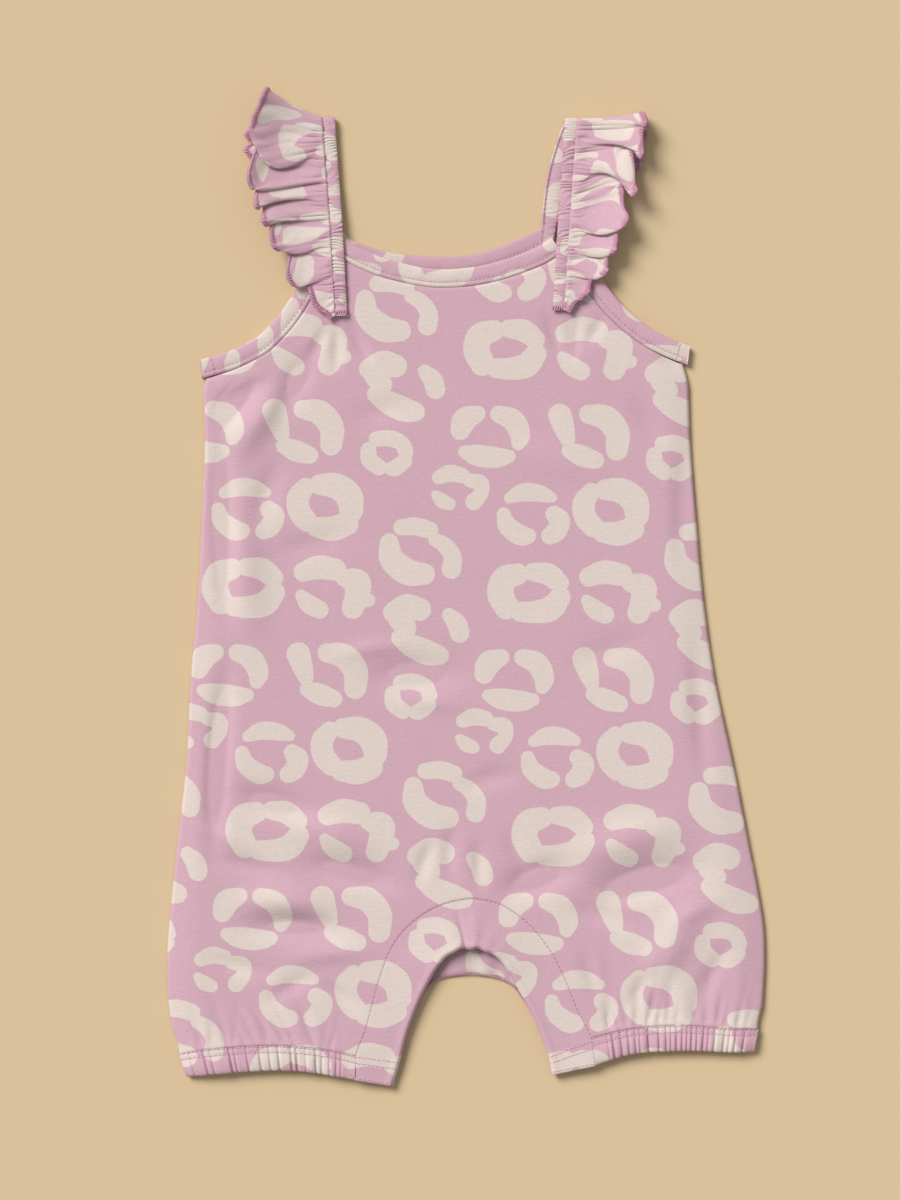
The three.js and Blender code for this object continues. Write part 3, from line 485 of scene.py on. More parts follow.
def cloth_piece(name, body, plan, cut, node, look="cloth", band=None):
    """A settled piece of printed cloth: its points and faces, places on the flat cloth, and trim."""
    points, plan = to_metres(body[0]), plan.reshape(-1, 2)
    mesh = bpy.data.meshes.new(name)
    mesh.from_pydata(points.tolist(), [], [list(face) for face in body[1]])
    mesh.polygons.foreach_set("use_smooth", np.ones(len(mesh.polygons), bool))
    spots = mesh.attributes.new("rosettes", "FLOAT_VECTOR", "POINT")
    spots.data.foreach_set("vector", print_layers(plan[:, 0], plan[:, 1], cut).ravel())
    trim = mesh.attributes.new("trim", "FLOAT", "POINT")
    trim.data.foreach_set("value", np.zeros(len(points)) if band is None else band)
    corners = np.empty(len(mesh.loops), np.int64)
    mesh.loops.foreach_get("vertex_index", corners)
    cloth = mesh.uv_layers.new(name="Cloth")
    cloth.data.foreach_set("uv", (plan * MILLIMETRE)[corners].ravel())
    mesh.materials.append(look_of(look))
    mesh.update()
    outward(mesh)
    obj = bpy.data.objects.new(name, mesh)
    bpy.context.scene.collection.objects.link(obj)
    return settle(obj, [node])


def outward(mesh):
    """Turns a closed mesh's faces out, where they point in."""
    mesh.calc_loop_triangles()
    corners = np.empty(len(mesh.loop_triangles) * 3, np.int64)
    mesh.loop_triangles.foreach_get("vertices", corners)
    place = np.empty(len(mesh.vertices) * 3)
    mesh.vertices.foreach_get("co", place)
    a, b, c = (place.reshape(-1, 3)[corners.reshape(-1, 3)[:, k]] for k in range(3))
    if (a * np.cross(b, c)).sum() < 0:
        mesh.flip_normals()
    mesh.update()


def shell(over, under, stride=1):
    """A closed wall between two grids of points. The lower one may be coarser by a whole stride."""
    columns, rows = over.shape[0] - 1, over.shape[1] - 1
    low = under[::stride, ::stride]
    low_columns, low_rows = low.shape[0] - 1, low.shape[1] - 1
    index = np.arange((columns + 1) * (rows + 1)).reshape(columns + 1, rows + 1)
    below = index[-1, -1] + 1 + np.arange((low_columns + 1) * (low_rows + 1)).reshape(low_columns + 1, -1)
    faces = grid_faces(index) + [face[::-1] for face in grid_faces(below)]
    for fine, coarse in zip(rim(index), rim(below)):
        for k in range(len(coarse) - 1):
            run = fine[k * stride:(k + 1) * stride + 1]
            half = stride // 2
            for m in range(stride):
                foot = coarse[k] if m < half or stride == 1 else coarse[k + 1]
                faces.append((run[m + 1], run[m], foot))
            faces.append((coarse[k], coarse[k + 1], run[half] if stride > 1 else run[1]))
    return np.concatenate([over.reshape(-1, 3), low.reshape(-1, 3)]), faces


def grid_faces(index):
    a, b, c, d = index[:-1, :-1], index[1:, :-1], index[1:, 1:], index[:-1, 1:]
    return np.stack([a, b, c, d], -1).reshape(-1, 4).tolist()


def rim(index):
    """The four sides of a grid of point numbers, in order round it."""
    return [index[:, 0].tolist(), index[-1, :].tolist(), index[::-1, -1].tolist(), index[0, ::-1].tolist()]


def ring_body(rings):
    """A closed body through rings of points, with flat ends."""
    count, around = rings.shape[:2]
    index = np.arange(count * around).reshape(count, around)
    closed = np.concatenate([index, index[:, :1]], 1)
    faces = grid_faces(closed) + [index[0, ::-1].tolist(), index[-1].tolist()]
    return rings.reshape(-1, 3), faces


def shell_values(values, stride=1):
    """Values given over a grid, laid out as shell() lays out its points."""
    values = np.asarray(values, float)
    low = values[::stride, ::stride]
    return np.concatenate([values.reshape(-1, *values.shape[2:]), low.reshape(-1, *values.shape[2:])])


def add_node(tree, kind, settings=None, values=None):
    """A node of a shader or geometry tree, with its settings, and its inputs linked or set."""
    made = tree.nodes.new(kind)
    for key, value in (settings or {}).items():
        setattr(made, key, value)
    for key, value in (values or {}).items():
        if isinstance(value, bpy.types.NodeSocket):
            tree.links.new(value, made.inputs[key])
        else:
            made.inputs[key].default_value = value
    return made


# Looks

class Number:
    """A shader value, with its maths written as Python expressions."""

    def __init__(self, look, socket):
        self.look, self.socket = look, socket

    def _math(self, operation, a, b=None):
        values = {0: a} if b is None else {0: a, 1: b}
        return self.look.number("ShaderNodeMath", {"operation": operation}, values)

    def __add__(self, other):
        return self._math("ADD", self, other)

    def __radd__(self, other):
        return self._math("ADD", other, self)

    def __sub__(self, other):
        return self._math("SUBTRACT", self, other)

    def __rsub__(self, other):
        return self._math("SUBTRACT", other, self)

    def __mul__(self, other):
        return self._math("MULTIPLY", self, other)

    def __rmul__(self, other):
        return self._math("MULTIPLY", other, self)

    def least(self, other):
        return self._math("MINIMUM", self, other)


class Look:
    """A material under construction."""

    def __init__(self, name):
        self.material = bpy.data.materials.new(name)
        self.material.use_nodes = True
        self.tree = self.material.node_tree
        self.tree.nodes.clear()

    def node(self, kind, settings=None, values=None):
        plain = {key: value.socket if isinstance(value, Number) else value
                 for key, value in (values or {}).items()}
        return add_node(self.tree, kind, settings, plain)

    def number(self, kind, settings=None, values=None, output=0):
        return Number(self, self.node(kind, settings, values).outputs[output])

    def noise(self, place, scale, detail):
        values = {"Vector": place, "Scale": scale, "Detail": detail}
        return self.number("ShaderNodeTexNoise", {}, values, "Fac")

    def scaled(self, place, scale):
        return self.node("ShaderNodeVectorMath", {"operation": "MULTIPLY"}, {0: place, 1: scale}).outputs[0]

    def smooth_step(self, value, low, high):
        return self.number("ShaderNodeMapRange", {"interpolation_type": "SMOOTHSTEP"},
                           {"Value": value, "From Min": low, "From Max": high, "To Min": 0.0, "To Max": 1.0})

    def blend(self, factor, a, b, how="MIX"):
        """Two colours through a Mix node."""
        mixed = self.node("ShaderNodeMix", {"data_type": "RGBA", "blend_type": how}, {0: factor, 6: a, 7: b})
        return mixed.outputs[2]

    def shaded(self, colour, shade):
        """A colour made lighter or darker by a number near 1."""
        grey = self.node("ShaderNodeCombineXYZ", {}, {0: shade, 1: shade, 2: shade}).outputs[0]
        return self.blend(1.0, colour, grey, "MULTIPLY")

    def finish(self, settings):
        """The finished material, from the settings of its one shader."""
        surface = self.node("ShaderNodeBsdfPrincipled", {}, settings)
        self.node("ShaderNodeOutputMaterial", {}, {"Surface": surface.outputs[0]})
        return self.material


def rgb(colour):
    return (*colour[:3], 1.0)


def printed_cloth(name, ground, spot, trim):
    """Fine jersey: heathered ground, charted spots, a satin trim where the piece says so."""
    look = Look(name)
    layers = look.node("ShaderNodeAttribute", {"attribute_name": "rosettes"})
    parts = look.node("ShaderNodeSeparateXYZ", {}, {"Vector": layers.outputs["Vector"]})
    nearest = [Number(look, socket) for socket in parts.outputs]
    cloth = look.node("ShaderNodeUVMap", {"uv_map": "Cloth"}).outputs[0]
    ragged = look.noise(cloth, 900.0, 1.0)
    distance = nearest[0].least(nearest[1]).least(nearest[2]) + (ragged - 0.5) * 0.5
    spots = 1.0 - look.smooth_step(distance, -0.22, 0.22)
    slub = look.noise(look.scaled(cloth, (260.0, 900.0, 1.0)), 1.0, 3.0)
    broad = look.noise(cloth, 38.0, 2.0)
    heather = look.noise(cloth, 1500.0, 2.0)
    shade = (slub - 0.5) * 0.16 + (heather - 0.5) * 0.16 + (broad - 0.5) * 0.06 + 1.0
    edge = look.number("ShaderNodeAttribute", {"attribute_name": "trim"}, {}, "Fac")
    colour = look.blend(edge, look.blend(spots, rgb(ground), rgb(spot)), rgb(trim))
    loops = look.number("ShaderNodeTexVoronoi", {}, {
        "Vector": look.scaled(cloth, (1150.0, 800.0, 1.0)), "Scale": 1.0, "Randomness": 0.55}, "Distance")
    height = loops * 0.7 + slub * 0.8 + heather * 0.5
    bump = look.node("ShaderNodeBump", {}, {"Strength": 0.32, "Distance": 0.0003, "Height": height})
    return look.finish({
        "Base Color": look.shaded(colour, shade), "Roughness": 0.88, "Normal": bump.outputs[0],
        "Sheen Weight": 0.22, "Sheen Roughness": 0.45, "Specular IOR Level": 0.18,
    })


def thread_look(name, colour):
    look = Look(name)
    lint = look.noise(look.node("ShaderNodeTexCoord").outputs["Object"], 1600.0, 2.0)
    bump = look.node("ShaderNodeBump", {}, {"Strength": 0.3, "Distance": 0.0001, "Height": lint})
    return look.finish({
        "Base Color": look.shaded(rgb(colour), (lint - 0.5) * 0.3 + 1.0), "Roughness": 0.6,
        "Normal": bump.outputs[0], "Sheen Weight": 0.1, "Specular IOR Level": 0.3,
    })


def floor_look(name, colour):
    look = Look(name)
    grain = look.noise(look.node("ShaderNodeTexCoord").outputs["Object"], 3.0, 1.0)
    shade = (grain - 0.5) * 0.01 + 1.0
    values = {"Base Color": look.shaded(rgb(colour), shade), "Roughness": 0.95, "Specular IOR Level": 0.05}
    return look.finish(values)


looks = {}

# How much darker the back pieces' jersey is made than the printed face: painted shade for the layer that lies
# under the front
UNDER_LAYER_SHADE = 0.93


def look_of(kind):
    """The finish of a kind of cloth or thread, made once."""
    if kind not in looks:
        dye = bpy.context.scene.romper_cloth
        ground, spot = ([channel * UNDER_LAYER_SHADE for channel in colour] for colour in (dye.ground, dye.spot))
        makers = {
            "cloth": lambda: printed_cloth("printed_jersey", dye.ground, dye.spot, dye.overlock),
            # The darker copy of the printed jersey for the back pieces: painted shade of the under layer
            "inside": lambda: printed_cloth("jersey_under_layer_shade", ground, spot, dye.overlock),
            "thread": lambda: thread_look("sewing_thread", dye.thread),
            # Dark beads in the needle holes: painted shade of the holes
            "hole_shade": lambda: thread_look("needle_hole", dye.hole_shade),
            "overlock": lambda: thread_look("overlock_thread", dye.overlock),
        }
        looks[kind] = makers[kind]()
    return looks[kind]


# Geometry nodes

def new_tree(name, inputs):
    """An empty tree with a geometry in and out and named inputs: name, socket type, default."""
    tree = bpy.data.node_groups.new(name, "GeometryNodeTree")
    tree.interface.new_socket(name="Geometry", in_out="INPUT", socket_type="NodeSocketGeometry")
    for label, kind, default in inputs:
        made = tree.interface.new_socket(name=label, in_out="INPUT", socket_type=kind)
        if default is not None:
            made.default_value = default
    tree.interface.new_socket(name="Geometry", in_out="OUTPUT", socket_type="NodeSocketGeometry")
    return tree, tree.nodes.new("NodeGroupInput"), tree.nodes.new("NodeGroupOutput")


def begin_row(tree, given):
    """The guide's edges as curves."""
    return add_node(tree, "GeometryNodeMeshToCurve", {}, {"Mesh": given.outputs["Geometry"]})


def end_tree(tree, given, result, made):
    """Ends a tree with its geometry made real and dyed."""
    solid = add_node(tree, "GeometryNodeRealizeInstances", {}, {"Geometry": made.outputs[0]})
    dyed = add_node(tree, "GeometryNodeSetMaterial", {}, {
        "Geometry": solid.outputs[0], "Material": given.outputs["Thread"]})
    tree.links.new(dyed.outputs[0], result.inputs[0])
    return tree


def stitch_tree():
    """Short rounded stitches set end to end along every line of a mesh of edges."""
    tree, given, result = new_tree("Stitch row", [
        ("Pitch", "NodeSocketFloat", 0.0022), ("Length", "NodeSocketFloat", 0.0014),
        ("Thickness", "NodeSocketFloat", 0.0005), ("Unevenness", "NodeSocketFloat", 0.12),
        ("Seed", "NodeSocketInt", 3), ("Thread", "NodeSocketMaterial", None),
    ])
    line = begin_row(tree, given)
    spaced = add_node(tree, "GeometryNodeResampleCurve", {"mode": "LENGTH"},
                      {"Curve": line.outputs[0], "Length": given.outputs["Pitch"]})
    tangent = add_node(tree, "GeometryNodeInputTangent")
    turn = add_node(tree, "FunctionNodeAlignRotationToVector", {"axis": "X"}, {"Vector": tangent.outputs[0]})
    varied = add_node(tree, "FunctionNodeRandomValue", {"data_type": "FLOAT"},
                      {2: -1.0, 3: 1.0, "Seed": given.outputs["Seed"]})
    swing = add_node(tree, "ShaderNodeMath", {"operation": "MULTIPLY_ADD"},
                     {0: varied.outputs[1], 1: given.outputs["Unevenness"], 2: 1.0})
    length = add_node(tree, "ShaderNodeMath", {"operation": "MULTIPLY"},
                      {0: given.outputs["Length"], 1: swing.outputs[0]})
    size = add_node(tree, "ShaderNodeCombineXYZ", {}, {
        0: length.outputs[0], 1: given.outputs["Thickness"], 2: given.outputs["Thickness"]})
    bead = add_node(tree, "GeometryNodeMeshUVSphere", {}, {"Segments": 6, "Rings": 5, "Radius": 0.5})
    smooth = add_node(tree, "GeometryNodeSetShadeSmooth", {}, {"Geometry": bead.outputs[0]})
    placed = add_node(tree, "GeometryNodeInstanceOnPoints", {}, {
        "Points": spaced.outputs[0], "Instance": smooth.outputs[0], "Rotation": turn.outputs[0],
        "Scale": size.outputs[0]})
    return end_tree(tree, given, result, placed)


def thread_tree():
    """A round thread swept along every line of a mesh of edges."""
    tree, given, result = new_tree("Laid thread", [
        ("Thickness", "NodeSocketFloat", 0.0004), ("Sides", "NodeSocketInt", 4),
        ("Thread", "NodeSocketMaterial", None),
    ])
    line = begin_row(tree, given)
    radius = add_node(tree, "ShaderNodeMath", {"operation": "MULTIPLY"},
                      {0: given.outputs["Thickness"], 1: 0.5})
    ring = add_node(tree, "GeometryNodeCurvePrimitiveCircle", {"mode": "RADIUS"},
                    {"Resolution": given.outputs["Sides"], "Radius": radius.outputs[0]})
    swept = add_node(tree, "GeometryNodeCurveToMesh", {}, {
        "Curve": line.outputs[0], "Profile Curve": ring.outputs[0], "Fill Caps": True})
    smooth = add_node(tree, "GeometryNodeSetShadeSmooth", {}, {"Geometry": swept.outputs[0]})
    return end_tree(tree, given, result, smooth)


trees = {}


def sewn(name, kind, lines, look, slot, **inputs):
    """A settled piece of stitches or thread along lines of garment points, made by a node tree."""
    if kind not in trees:
        trees[kind] = {"stitches": stitch_tree, "thread": thread_tree}[kind]()
    tree = trees[kind]
    points, edges = [], []
    for line in lines:
        first = len(points)
        points.extend(to_metres(line).tolist())
        edges.extend((first + k, first + k + 1) for k in range(len(line) - 1))
    guide = bpy.data.meshes.new(name + "_guide")
    guide.from_pydata(points, edges, [])
    obj = bpy.data.objects.new(name, guide)
    bpy.context.scene.collection.objects.link(obj)
    modifier = obj.modifiers.new("Sewing", "NODES")
    modifier.node_group = tree
    sockets = {item.name: item.identifier for item in tree.interface.items_tree
               if item.item_type == "SOCKET" and item.in_out == "INPUT"}
    for label, value in {**inputs, "Thread": look_of(look)}.items():
        modifier[sockets[label]] = value
    bpy.context.view_layer.update()
    graph = bpy.context.evaluated_depsgraph_get()
    made = bpy.data.meshes.new_from_object(obj.evaluated_get(graph), depsgraph=graph)
    obj.modifiers.remove(modifier)
    obj.data = made
    bpy.data.meshes.remove(guide)
    if not made.polygons:
        raise RuntimeError(f"{name} came out empty")
    return settle(obj)


def settle(obj, replaces=()):
    """A finished piece rides on the romper's one body and hides the CAD parts it replaces."""
    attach(obj, "root")
    if replaces:
        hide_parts(*replaces)
    return obj


# Pieces

# Grid of the front panel: columns over each hem, over the arch and round each side, and rows
HEM_COLUMNS = 64
ARCH_COLUMNS = 152
ROLL_COLUMNS = 4
BODY_ROWS = 292
# The grid of its underside is coarser by this
UNDER_STRIDE = 4
SEAM_GAP = 0.02
SHELL_WALL = 0.8
# Radius of the front's rolled sides
ROLL_RADIUS = 1.6

# Share of a panel's columns that end on each armhole
ARM_SHARE = 12 / 42

# The back panel is coarser, because little of it shows
BACK_STRIDE = 4
BACK_ROWS = 60
BACK_WALL = 1.15

# Grids of the two gussets
GUSSET_COLUMNS = 300
GUSSET_ROWS = 48
BACK_GUSSET_ROWS = 24

# Straight steps of an overlock thread in one turn round its edge
LOOP_STEPS = 8


def join_runs(runs):
    """One edge from several runs of points, with their meeting ends averaged."""
    points = [np.array(run) for run in runs]
    for a, b in zip(points, points[1:]):
        a[-1] = b[0] = (a[-1] + b[0]) / 2
    return np.concatenate([points[0]] + [run[1:] for run in points[1:]])


def front_foot():
    u = np.linspace(0, 1, HEM_COLUMNS + 1)
    arch = np.linspace(arch_from, arch_to, ARCH_COLUMNS + 1)
    return join_runs([curves["hem_top_left"].at(u, -SEAM_GAP), curves["gusset"].at(arch, -SEAM_GAP),
                      curves["hem_top_right"].at(u, -SEAM_GAP)])


def panel_plan(foot, neck, inside, rows, side_inset):
    """Plan of a panel as a grid, columns across and rows up, pulled out to its side seams."""
    columns = len(foot) - 1
    arm = np.linspace(0, 1, round(columns * ARM_SHARE) + 1)
    top = join_runs([
        curves["armhole_left"].at(arm, inside),
        curves[neck].at(np.linspace(0, 1, columns - 2 * (len(arm) - 1) + 1), inside),
        curves["armhole_right"].at(arm, inside),
    ])
    u, v = np.linspace(0, 1, columns + 1)[:, None], np.linspace(0, 1, rows + 1)[None, :]
    plan = foot[:, None] + (top - foot)[:, None] * v[..., None]
    x, y = plan[..., 0].copy(), plan[..., 1]
    pull = np.abs(2 * u - 1) * clamp(30 * np.minimum(v, 1 - v))
    left_gap = left_side(y[0]) + side_inset - x[0]
    right_gap = right_side(y[-1]) - side_inset - x[-1]
    x += pull * mix(left_gap, right_gap, u)
    return x, y, u


def front_panel_grid():
    """Upper face of the front panel as a grid of points."""
    x, y, u = panel_plan(front_foot(), "front_neck", BINDING_WIDTH + SEAM_GAP, BODY_ROWS, 0.0)
    x += ROLL_RADIUS * (clamp(1 - u * 12) - clamp(1 - (1 - u) * 12))
    z = front_rise(x, y) + hem_waves("left", x, y) + hem_waves("right", x, y)
    z -= 0.08 * np.exp(-((y - y[:, :1]) / 0.5) ** 2) + 0.3 * np.exp(-((y[:, -1:] - y) / 0.8) ** 2)
    return x, y, z


def front_body_shell():
    x, y, z = front_panel_grid()
    over = np.stack([x, y, z], -1)
    under = over - np.array([0, 0, SHELL_WALL])
    left, right = [], []
    for k in range(ROLL_COLUMNS, 0, -1):
        angle = k / ROLL_COLUMNS * math.pi / 2
        for side, edge, outward_to in ((left, 0, -1), (right, -1, 1)):
            drop = z[edge] - 0.6
            out = (ROLL_RADIUS + 0.1) * math.sin(angle)
            face = np.stack([x[edge] + outward_to * out, y[edge], z[edge] - drop * (1 - math.cos(angle))], -1)
            wall_out = np.full_like(drop, outward_to * SHELL_WALL * math.sin(angle))
            wall_down = np.full_like(drop, SHELL_WALL * math.cos(angle))
            inner = face - np.stack([wall_out, np.zeros_like(drop), wall_down], -1)
            side.append((face, inner))
    over = np.concatenate([np.array([f for f, _ in left]), over, np.array([f for f, _ in right[::-1]])])
    under = np.concatenate([np.array([g for _, g in left]), under, np.array([g for _, g in right[::-1]])])
    return over, under


def stitch_row(name, lines, pitch, slot, share=0.6):
    """Stitches along garment lines and, between them, dark beads of painted shade in the needle holes, as two
    settled pieces.
    """
    trim = bpy.context.scene.romper_trim
    stitches = sewn(name + "_stitches", "stitches", lines, "thread", slot, Pitch=pitch,
                    Length=pitch * share, Thickness=trim.thread)
    # Dark beads sunk half a pitch off the stitches, painting the shade inside the needle holes
    holes = []
    for line in lines:
        reach = reach_along(line)
        half_pitch = reach[-1] / max(1, int(reach[-1] * MILLIMETRE / pitch)) / 2
        sunk = read_line(line, reach, np.linspace(half_pitch, reach[-1] - half_pitch, len(line)))
        sunk[:, 2] -= 0.06
        holes.append(sunk)
    pricks = sewn(name + "_pricked_shade", "stitches", holes, "hole_shade", slot, Pitch=pitch,
                  Length=trim.needle_hole, Thickness=trim.needle_hole * 0.8)
    return [stitches, pricks]


class ROMPER_OT_front_body(bpy.types.Operator):
    """Front panel: one wide shell with its soft folds, creases and the fading gathers over the hems"""

    bl_idname = "romper.front_body"
    bl_label = "Front Body"

    def execute(self, context):
        over, under = front_body_shell()
        obj = cloth_piece("front_body_cloth", shell(over, under, UNDER_STRIDE),
                          shell_values(over[..., :2], UNDER_STRIDE), "body", "front_body")
        return {"FINISHED"}


class ROMPER_OT_back_body(bpy.types.Operator):
    """Back panel, lying on the table under the front"""

    bl_idname = "romper.back_body"
    bl_label = "Back Body"

    def execute(self, context):
        x, y, _ = panel_plan(front_foot()[::BACK_STRIDE], "back_neck", BINDING_WIDTH + 0.15, BACK_ROWS, 0.5)
        over = np.stack([x, y, np.full_like(x, BACK_WALL)], -1)
        under = np.stack([x, y, np.zeros_like(x)], -1)
        # The "inside" look is the darker copy of the jersey, with painted shade of the under layer
        obj = cloth_piece("back_body_cloth", shell(over, under), shell_values(over[..., :2]), "back",
                          "back_body", "inside")
        return {"FINISHED"}


def front_gusset_grid():
    """Upper face of the front gusset as a grid of points, from its free edge to its seam."""
    u, v = np.linspace(0, 1, GUSSET_COLUMNS + 1)[:, None], np.linspace(0, 1, GUSSET_ROWS + 1)[None, :]
    edge_x, edge_y, edge_rise = (column(FRONT_CROTCH, k)(u) for k in (1, 2, 3))
    edge_y = edge_y + 0.5 * np.sin(u * 60) * np.exp(-((u - 0.5) / 0.14) ** 2)
    seam_x, seam_y = np.moveaxis(curves["gusset"].at(u), -1, 0)
    x, y = mix(edge_x, seam_x, v), mix(edge_y, seam_y, v)
    pucker = np.zeros_like(x)
    for at, width, height, fade in PUCKERS:
        pucker += height * np.exp(-((u - at) / (width * (1 - 0.35 * v))) ** 2) * (1 - v) ** fade
    z = mix(edge_rise + CLOTH_WALL, front_rise(seam_x, seam_y), soft(v))
    z = z + pucker + fold_heights(x, y, CREASES) * 0.6 * (v * (1 - v) * 4)
    from_edge = np.hypot(x - edge_x, y - edge_y)
    from_seam = np.hypot(x - seam_x, y - seam_y)
    z = z - 0.1 * np.exp(-(from_seam / 0.6) ** 2) + 0.3 * np.exp(-((from_edge - 2.2) / 1.6) ** 2)
    z = z - 1.3 * np.exp(-(from_edge / 0.7) ** 2)
    return np.stack([x, y, z], -1)


def back_gusset_grid():
    """Upper face of the back gusset as a grid of points, from its free edge to its seam."""
    u, v = np.linspace(0, 1, GUSSET_COLUMNS + 1)[:, None], np.linspace(0, 1, BACK_GUSSET_ROWS + 1)[None, :]
    edge, seam = curves["back_crotch"].at(u), curves["gusset"].at(u)
    plan = edge + (seam - edge) * v[..., None]
    ripples = np.sin(2 * math.pi * (9 * u + wander(u, 8, 5, 0, 1.0)))
    waves = 0.5 * (1 - v) ** 2 * ripples * soft(4 * u * (1 - u))
    from_edge = np.linalg.norm(plan - edge, axis=-1)
    top = 1.0 + waves + 0.3 * np.exp(-((from_edge - 2) / 1.6) ** 2) - 0.5 * np.exp(-(from_edge / 0.6) ** 2)
    return np.concatenate([plan, top[..., None]], -1)


class ROMPER_OT_gussets(bpy.types.Operator):
    """Front and back gusset round the inside of the legs, with the puckers at the arch"""

    bl_idname = "romper.gussets"
    bl_label = "Gussets"

    def execute(self, context):
        self.front(context.scene.romper_trim)
        self.back(context.scene.romper_trim)
        return {"FINISHED"}

    def front(self, trim):
        over = front_gusset_grid()
        obj = cloth_piece("front_gusset_cloth", shell(over, over - np.array([0, 0, SHELL_WALL])),
                          shell_values(over[..., :2]), "body", "front_gusset")
        arch = curves["gusset"].at(np.linspace(0.02, 0.985, 500))
        arch = np.column_stack([arch, front_rise(arch[:, 0], arch[:, 1]) - 0.08])
        rows = []
        for start, end in GUSSET_HEM_ROWS:
            row = mix(np.array(start), np.array(end), np.linspace(0, 1, 40)[:, None])
            away = ((row[:, None, None] - over[None, ..., :2]) ** 2).sum(-1).reshape(len(row), -1)
            rows.append(np.column_stack([row, over[..., 2].ravel()[np.argmin(away, axis=1)] + 0.04]))
        sewing = stitch_row("gusset", [arch], trim.arch_pitch, "gusset", 0.5)
        sewing += stitch_row("gusset_hem", rows, trim.hem_pitch, "gusset")
        inward = np.tile([0.0, 1.0], (60, 1))
        feet = []
        for foot in (over[0], over[-1]):
            line = mix(foot[0], foot[-1], np.linspace(0.02, 0.98, 60)[:, None]) - np.array([0, 0, 0.7])
            feet.append(overlock_path(line, inward, 1.6, 0.7, trim.overlock_pitch))
        sewing.append(sewn("gusset_feet_overlock", "thread", feet, "overlock", "gusset",
                           Thickness=trim.thread))

    def back(self, trim):
        over = back_gusset_grid()
        under = over * np.array([1, 1, 0])
        # The "inside" look is the darker copy of the jersey, with painted shade of the under layer
        obj = cloth_piece("back_gusset_cloth", shell(over, under), shell_values(over[..., :2]), "back",
                          "back_gusset", "inside")
        arch = slice(*BACK_OVERLOCK_SPAN)
        crotch, seam = over[arch, 0, :2], over[arch, -1, :2]
        line = np.column_stack([crotch, np.full(len(crotch), 0.95)])
        edging = overlock_path(line, seam - crotch, 1.5, 0.55, trim.overlock_pitch)
        loops = sewn("back_gusset_overlock", "thread", [edging], "thread", "gusset",
                     Thickness=trim.thread * 0.8)


def overlock_path(edge, inward, width, thick, pitch, up=None):
    """A thread's way round and round a cloth edge: edge points, directions in from it, band width."""
    if inward.shape[1] == 2:
        inward = np.column_stack([inward, np.zeros(len(inward))])
    inward = inward / np.maximum(np.linalg.norm(inward, axis=1, keepdims=True), 1e-9)
    if up is None:
        up = np.tile([0.0, 0.0, 1.0], (len(edge), 1))
    reach = reach_along(edge)
    turns = int(reach[-1] * MILLIMETRE / pitch)
    at = np.linspace(0, reach[-1], turns * LOOP_STEPS + 1)
    angle = 2 * math.pi * np.linspace(0, turns, len(at))[:, None]
    in_and_out = read_line(inward, reach, at) * (width / 2 * (1 - np.cos(angle)) - 0.15)
    return read_line(edge, reach, at) + in_and_out + read_line(up, reach, at) * thick * np.sin(angle)


# Section of a front binding: millimetres across from the cut edge, height over its base
BINDING_OVER = [
    (0.0, 0.9), (0.15, 1.35), (0.5, 1.72), (1.2, 1.93), (2.4, 2.05), (4.0, 2.08), (5.2, 2.0), (5.9, 1.82),
    (6.4, 1.62), (6.9, 1.76), (7.5, 1.88), (8.1, 1.82), (8.6, 1.55), (8.95, 1.05),
]
BINDING_UNDER = [(8.95, 0.5), (8.0, 0.15), (4.5, 0.05), (1.0, 0.05), (0.3, 0.2), (0.05, 0.5)]
# Where along the section's points the row of stitches lies
STITCH_PLACE = 8
# How many rings from its underarm end the binding's bar tack lies
BAR_TACK_PLACE = 9

# Section of a front leg hem: share of its width from the edge, height over the cloth, share of its puffs,
# depth of its creases
HEM_OVER = [
    (0.0, -1.1, 0.5, 0.5), (0.012, -0.55, 0.8, 0.8), (0.045, -0.1, 1.0, 1.1), (0.1, 0.22, 1.0, 1.25),
    (0.2, 0.48, 1.0, 1.3), (0.34, 0.6, 1.0, 1.3), (0.48, 0.52, 1.0, 1.2), (0.6, 0.3, 0.8, 1.0),
    (0.68, 0.1, 0.5, 0.7), (0.735, -0.1, 0.2, 0.5), (0.785, 0.04, 0.3, 0.6), (0.85, 0.12, 0.4, 0.65),
    (0.92, 0.04, 0.2, 0.6), (0.97, -0.1, 0.0, 0.5), (1.0, -0.08, 0.0, 0.5),
]
HEM_UNDER = [
    (1.0, -0.9, 0.0, 0.5), (0.75, -1.2, 0.0, 0.5), (0.4, -1.4, 0.0, 0.5), (0.1, -1.7, 0.0, 0.4),
    (0.02, -1.6, 0.0, 0.4),
]
HEM_ROWS = (0.735, 0.97)
# How far each hem's lower corner reaches across to the gusset
HEM_CLOSING = {"left": 0.35, "right": -0.75}

# Shear of each binding along the side seam at its underarm end
BINDING_SHEAR = {"armhole_left": -1.8, "armhole_right": 2.4}

# First and last column of the back gusset that its overlock follows
BACK_OVERLOCK_SPAN = (40, 250)

# Rows of stitches across the gusset's two feet, each from one end to the other
GUSSET_HEM_ROWS = [
    ((-53.6, -225.3), (-31.9, -228.2)),
    ((-53.5, -228.2), (-32.6, -231.4)),
    ((-53.4, -235.4), (-35.0, -238.6)),
    ((39.6, -225.6), (59.8, -218.0)),
    ((40.2, -228.6), (60.2, -221.4)),
    ((41.0, -232.8), (61.4, -228.6)),
]


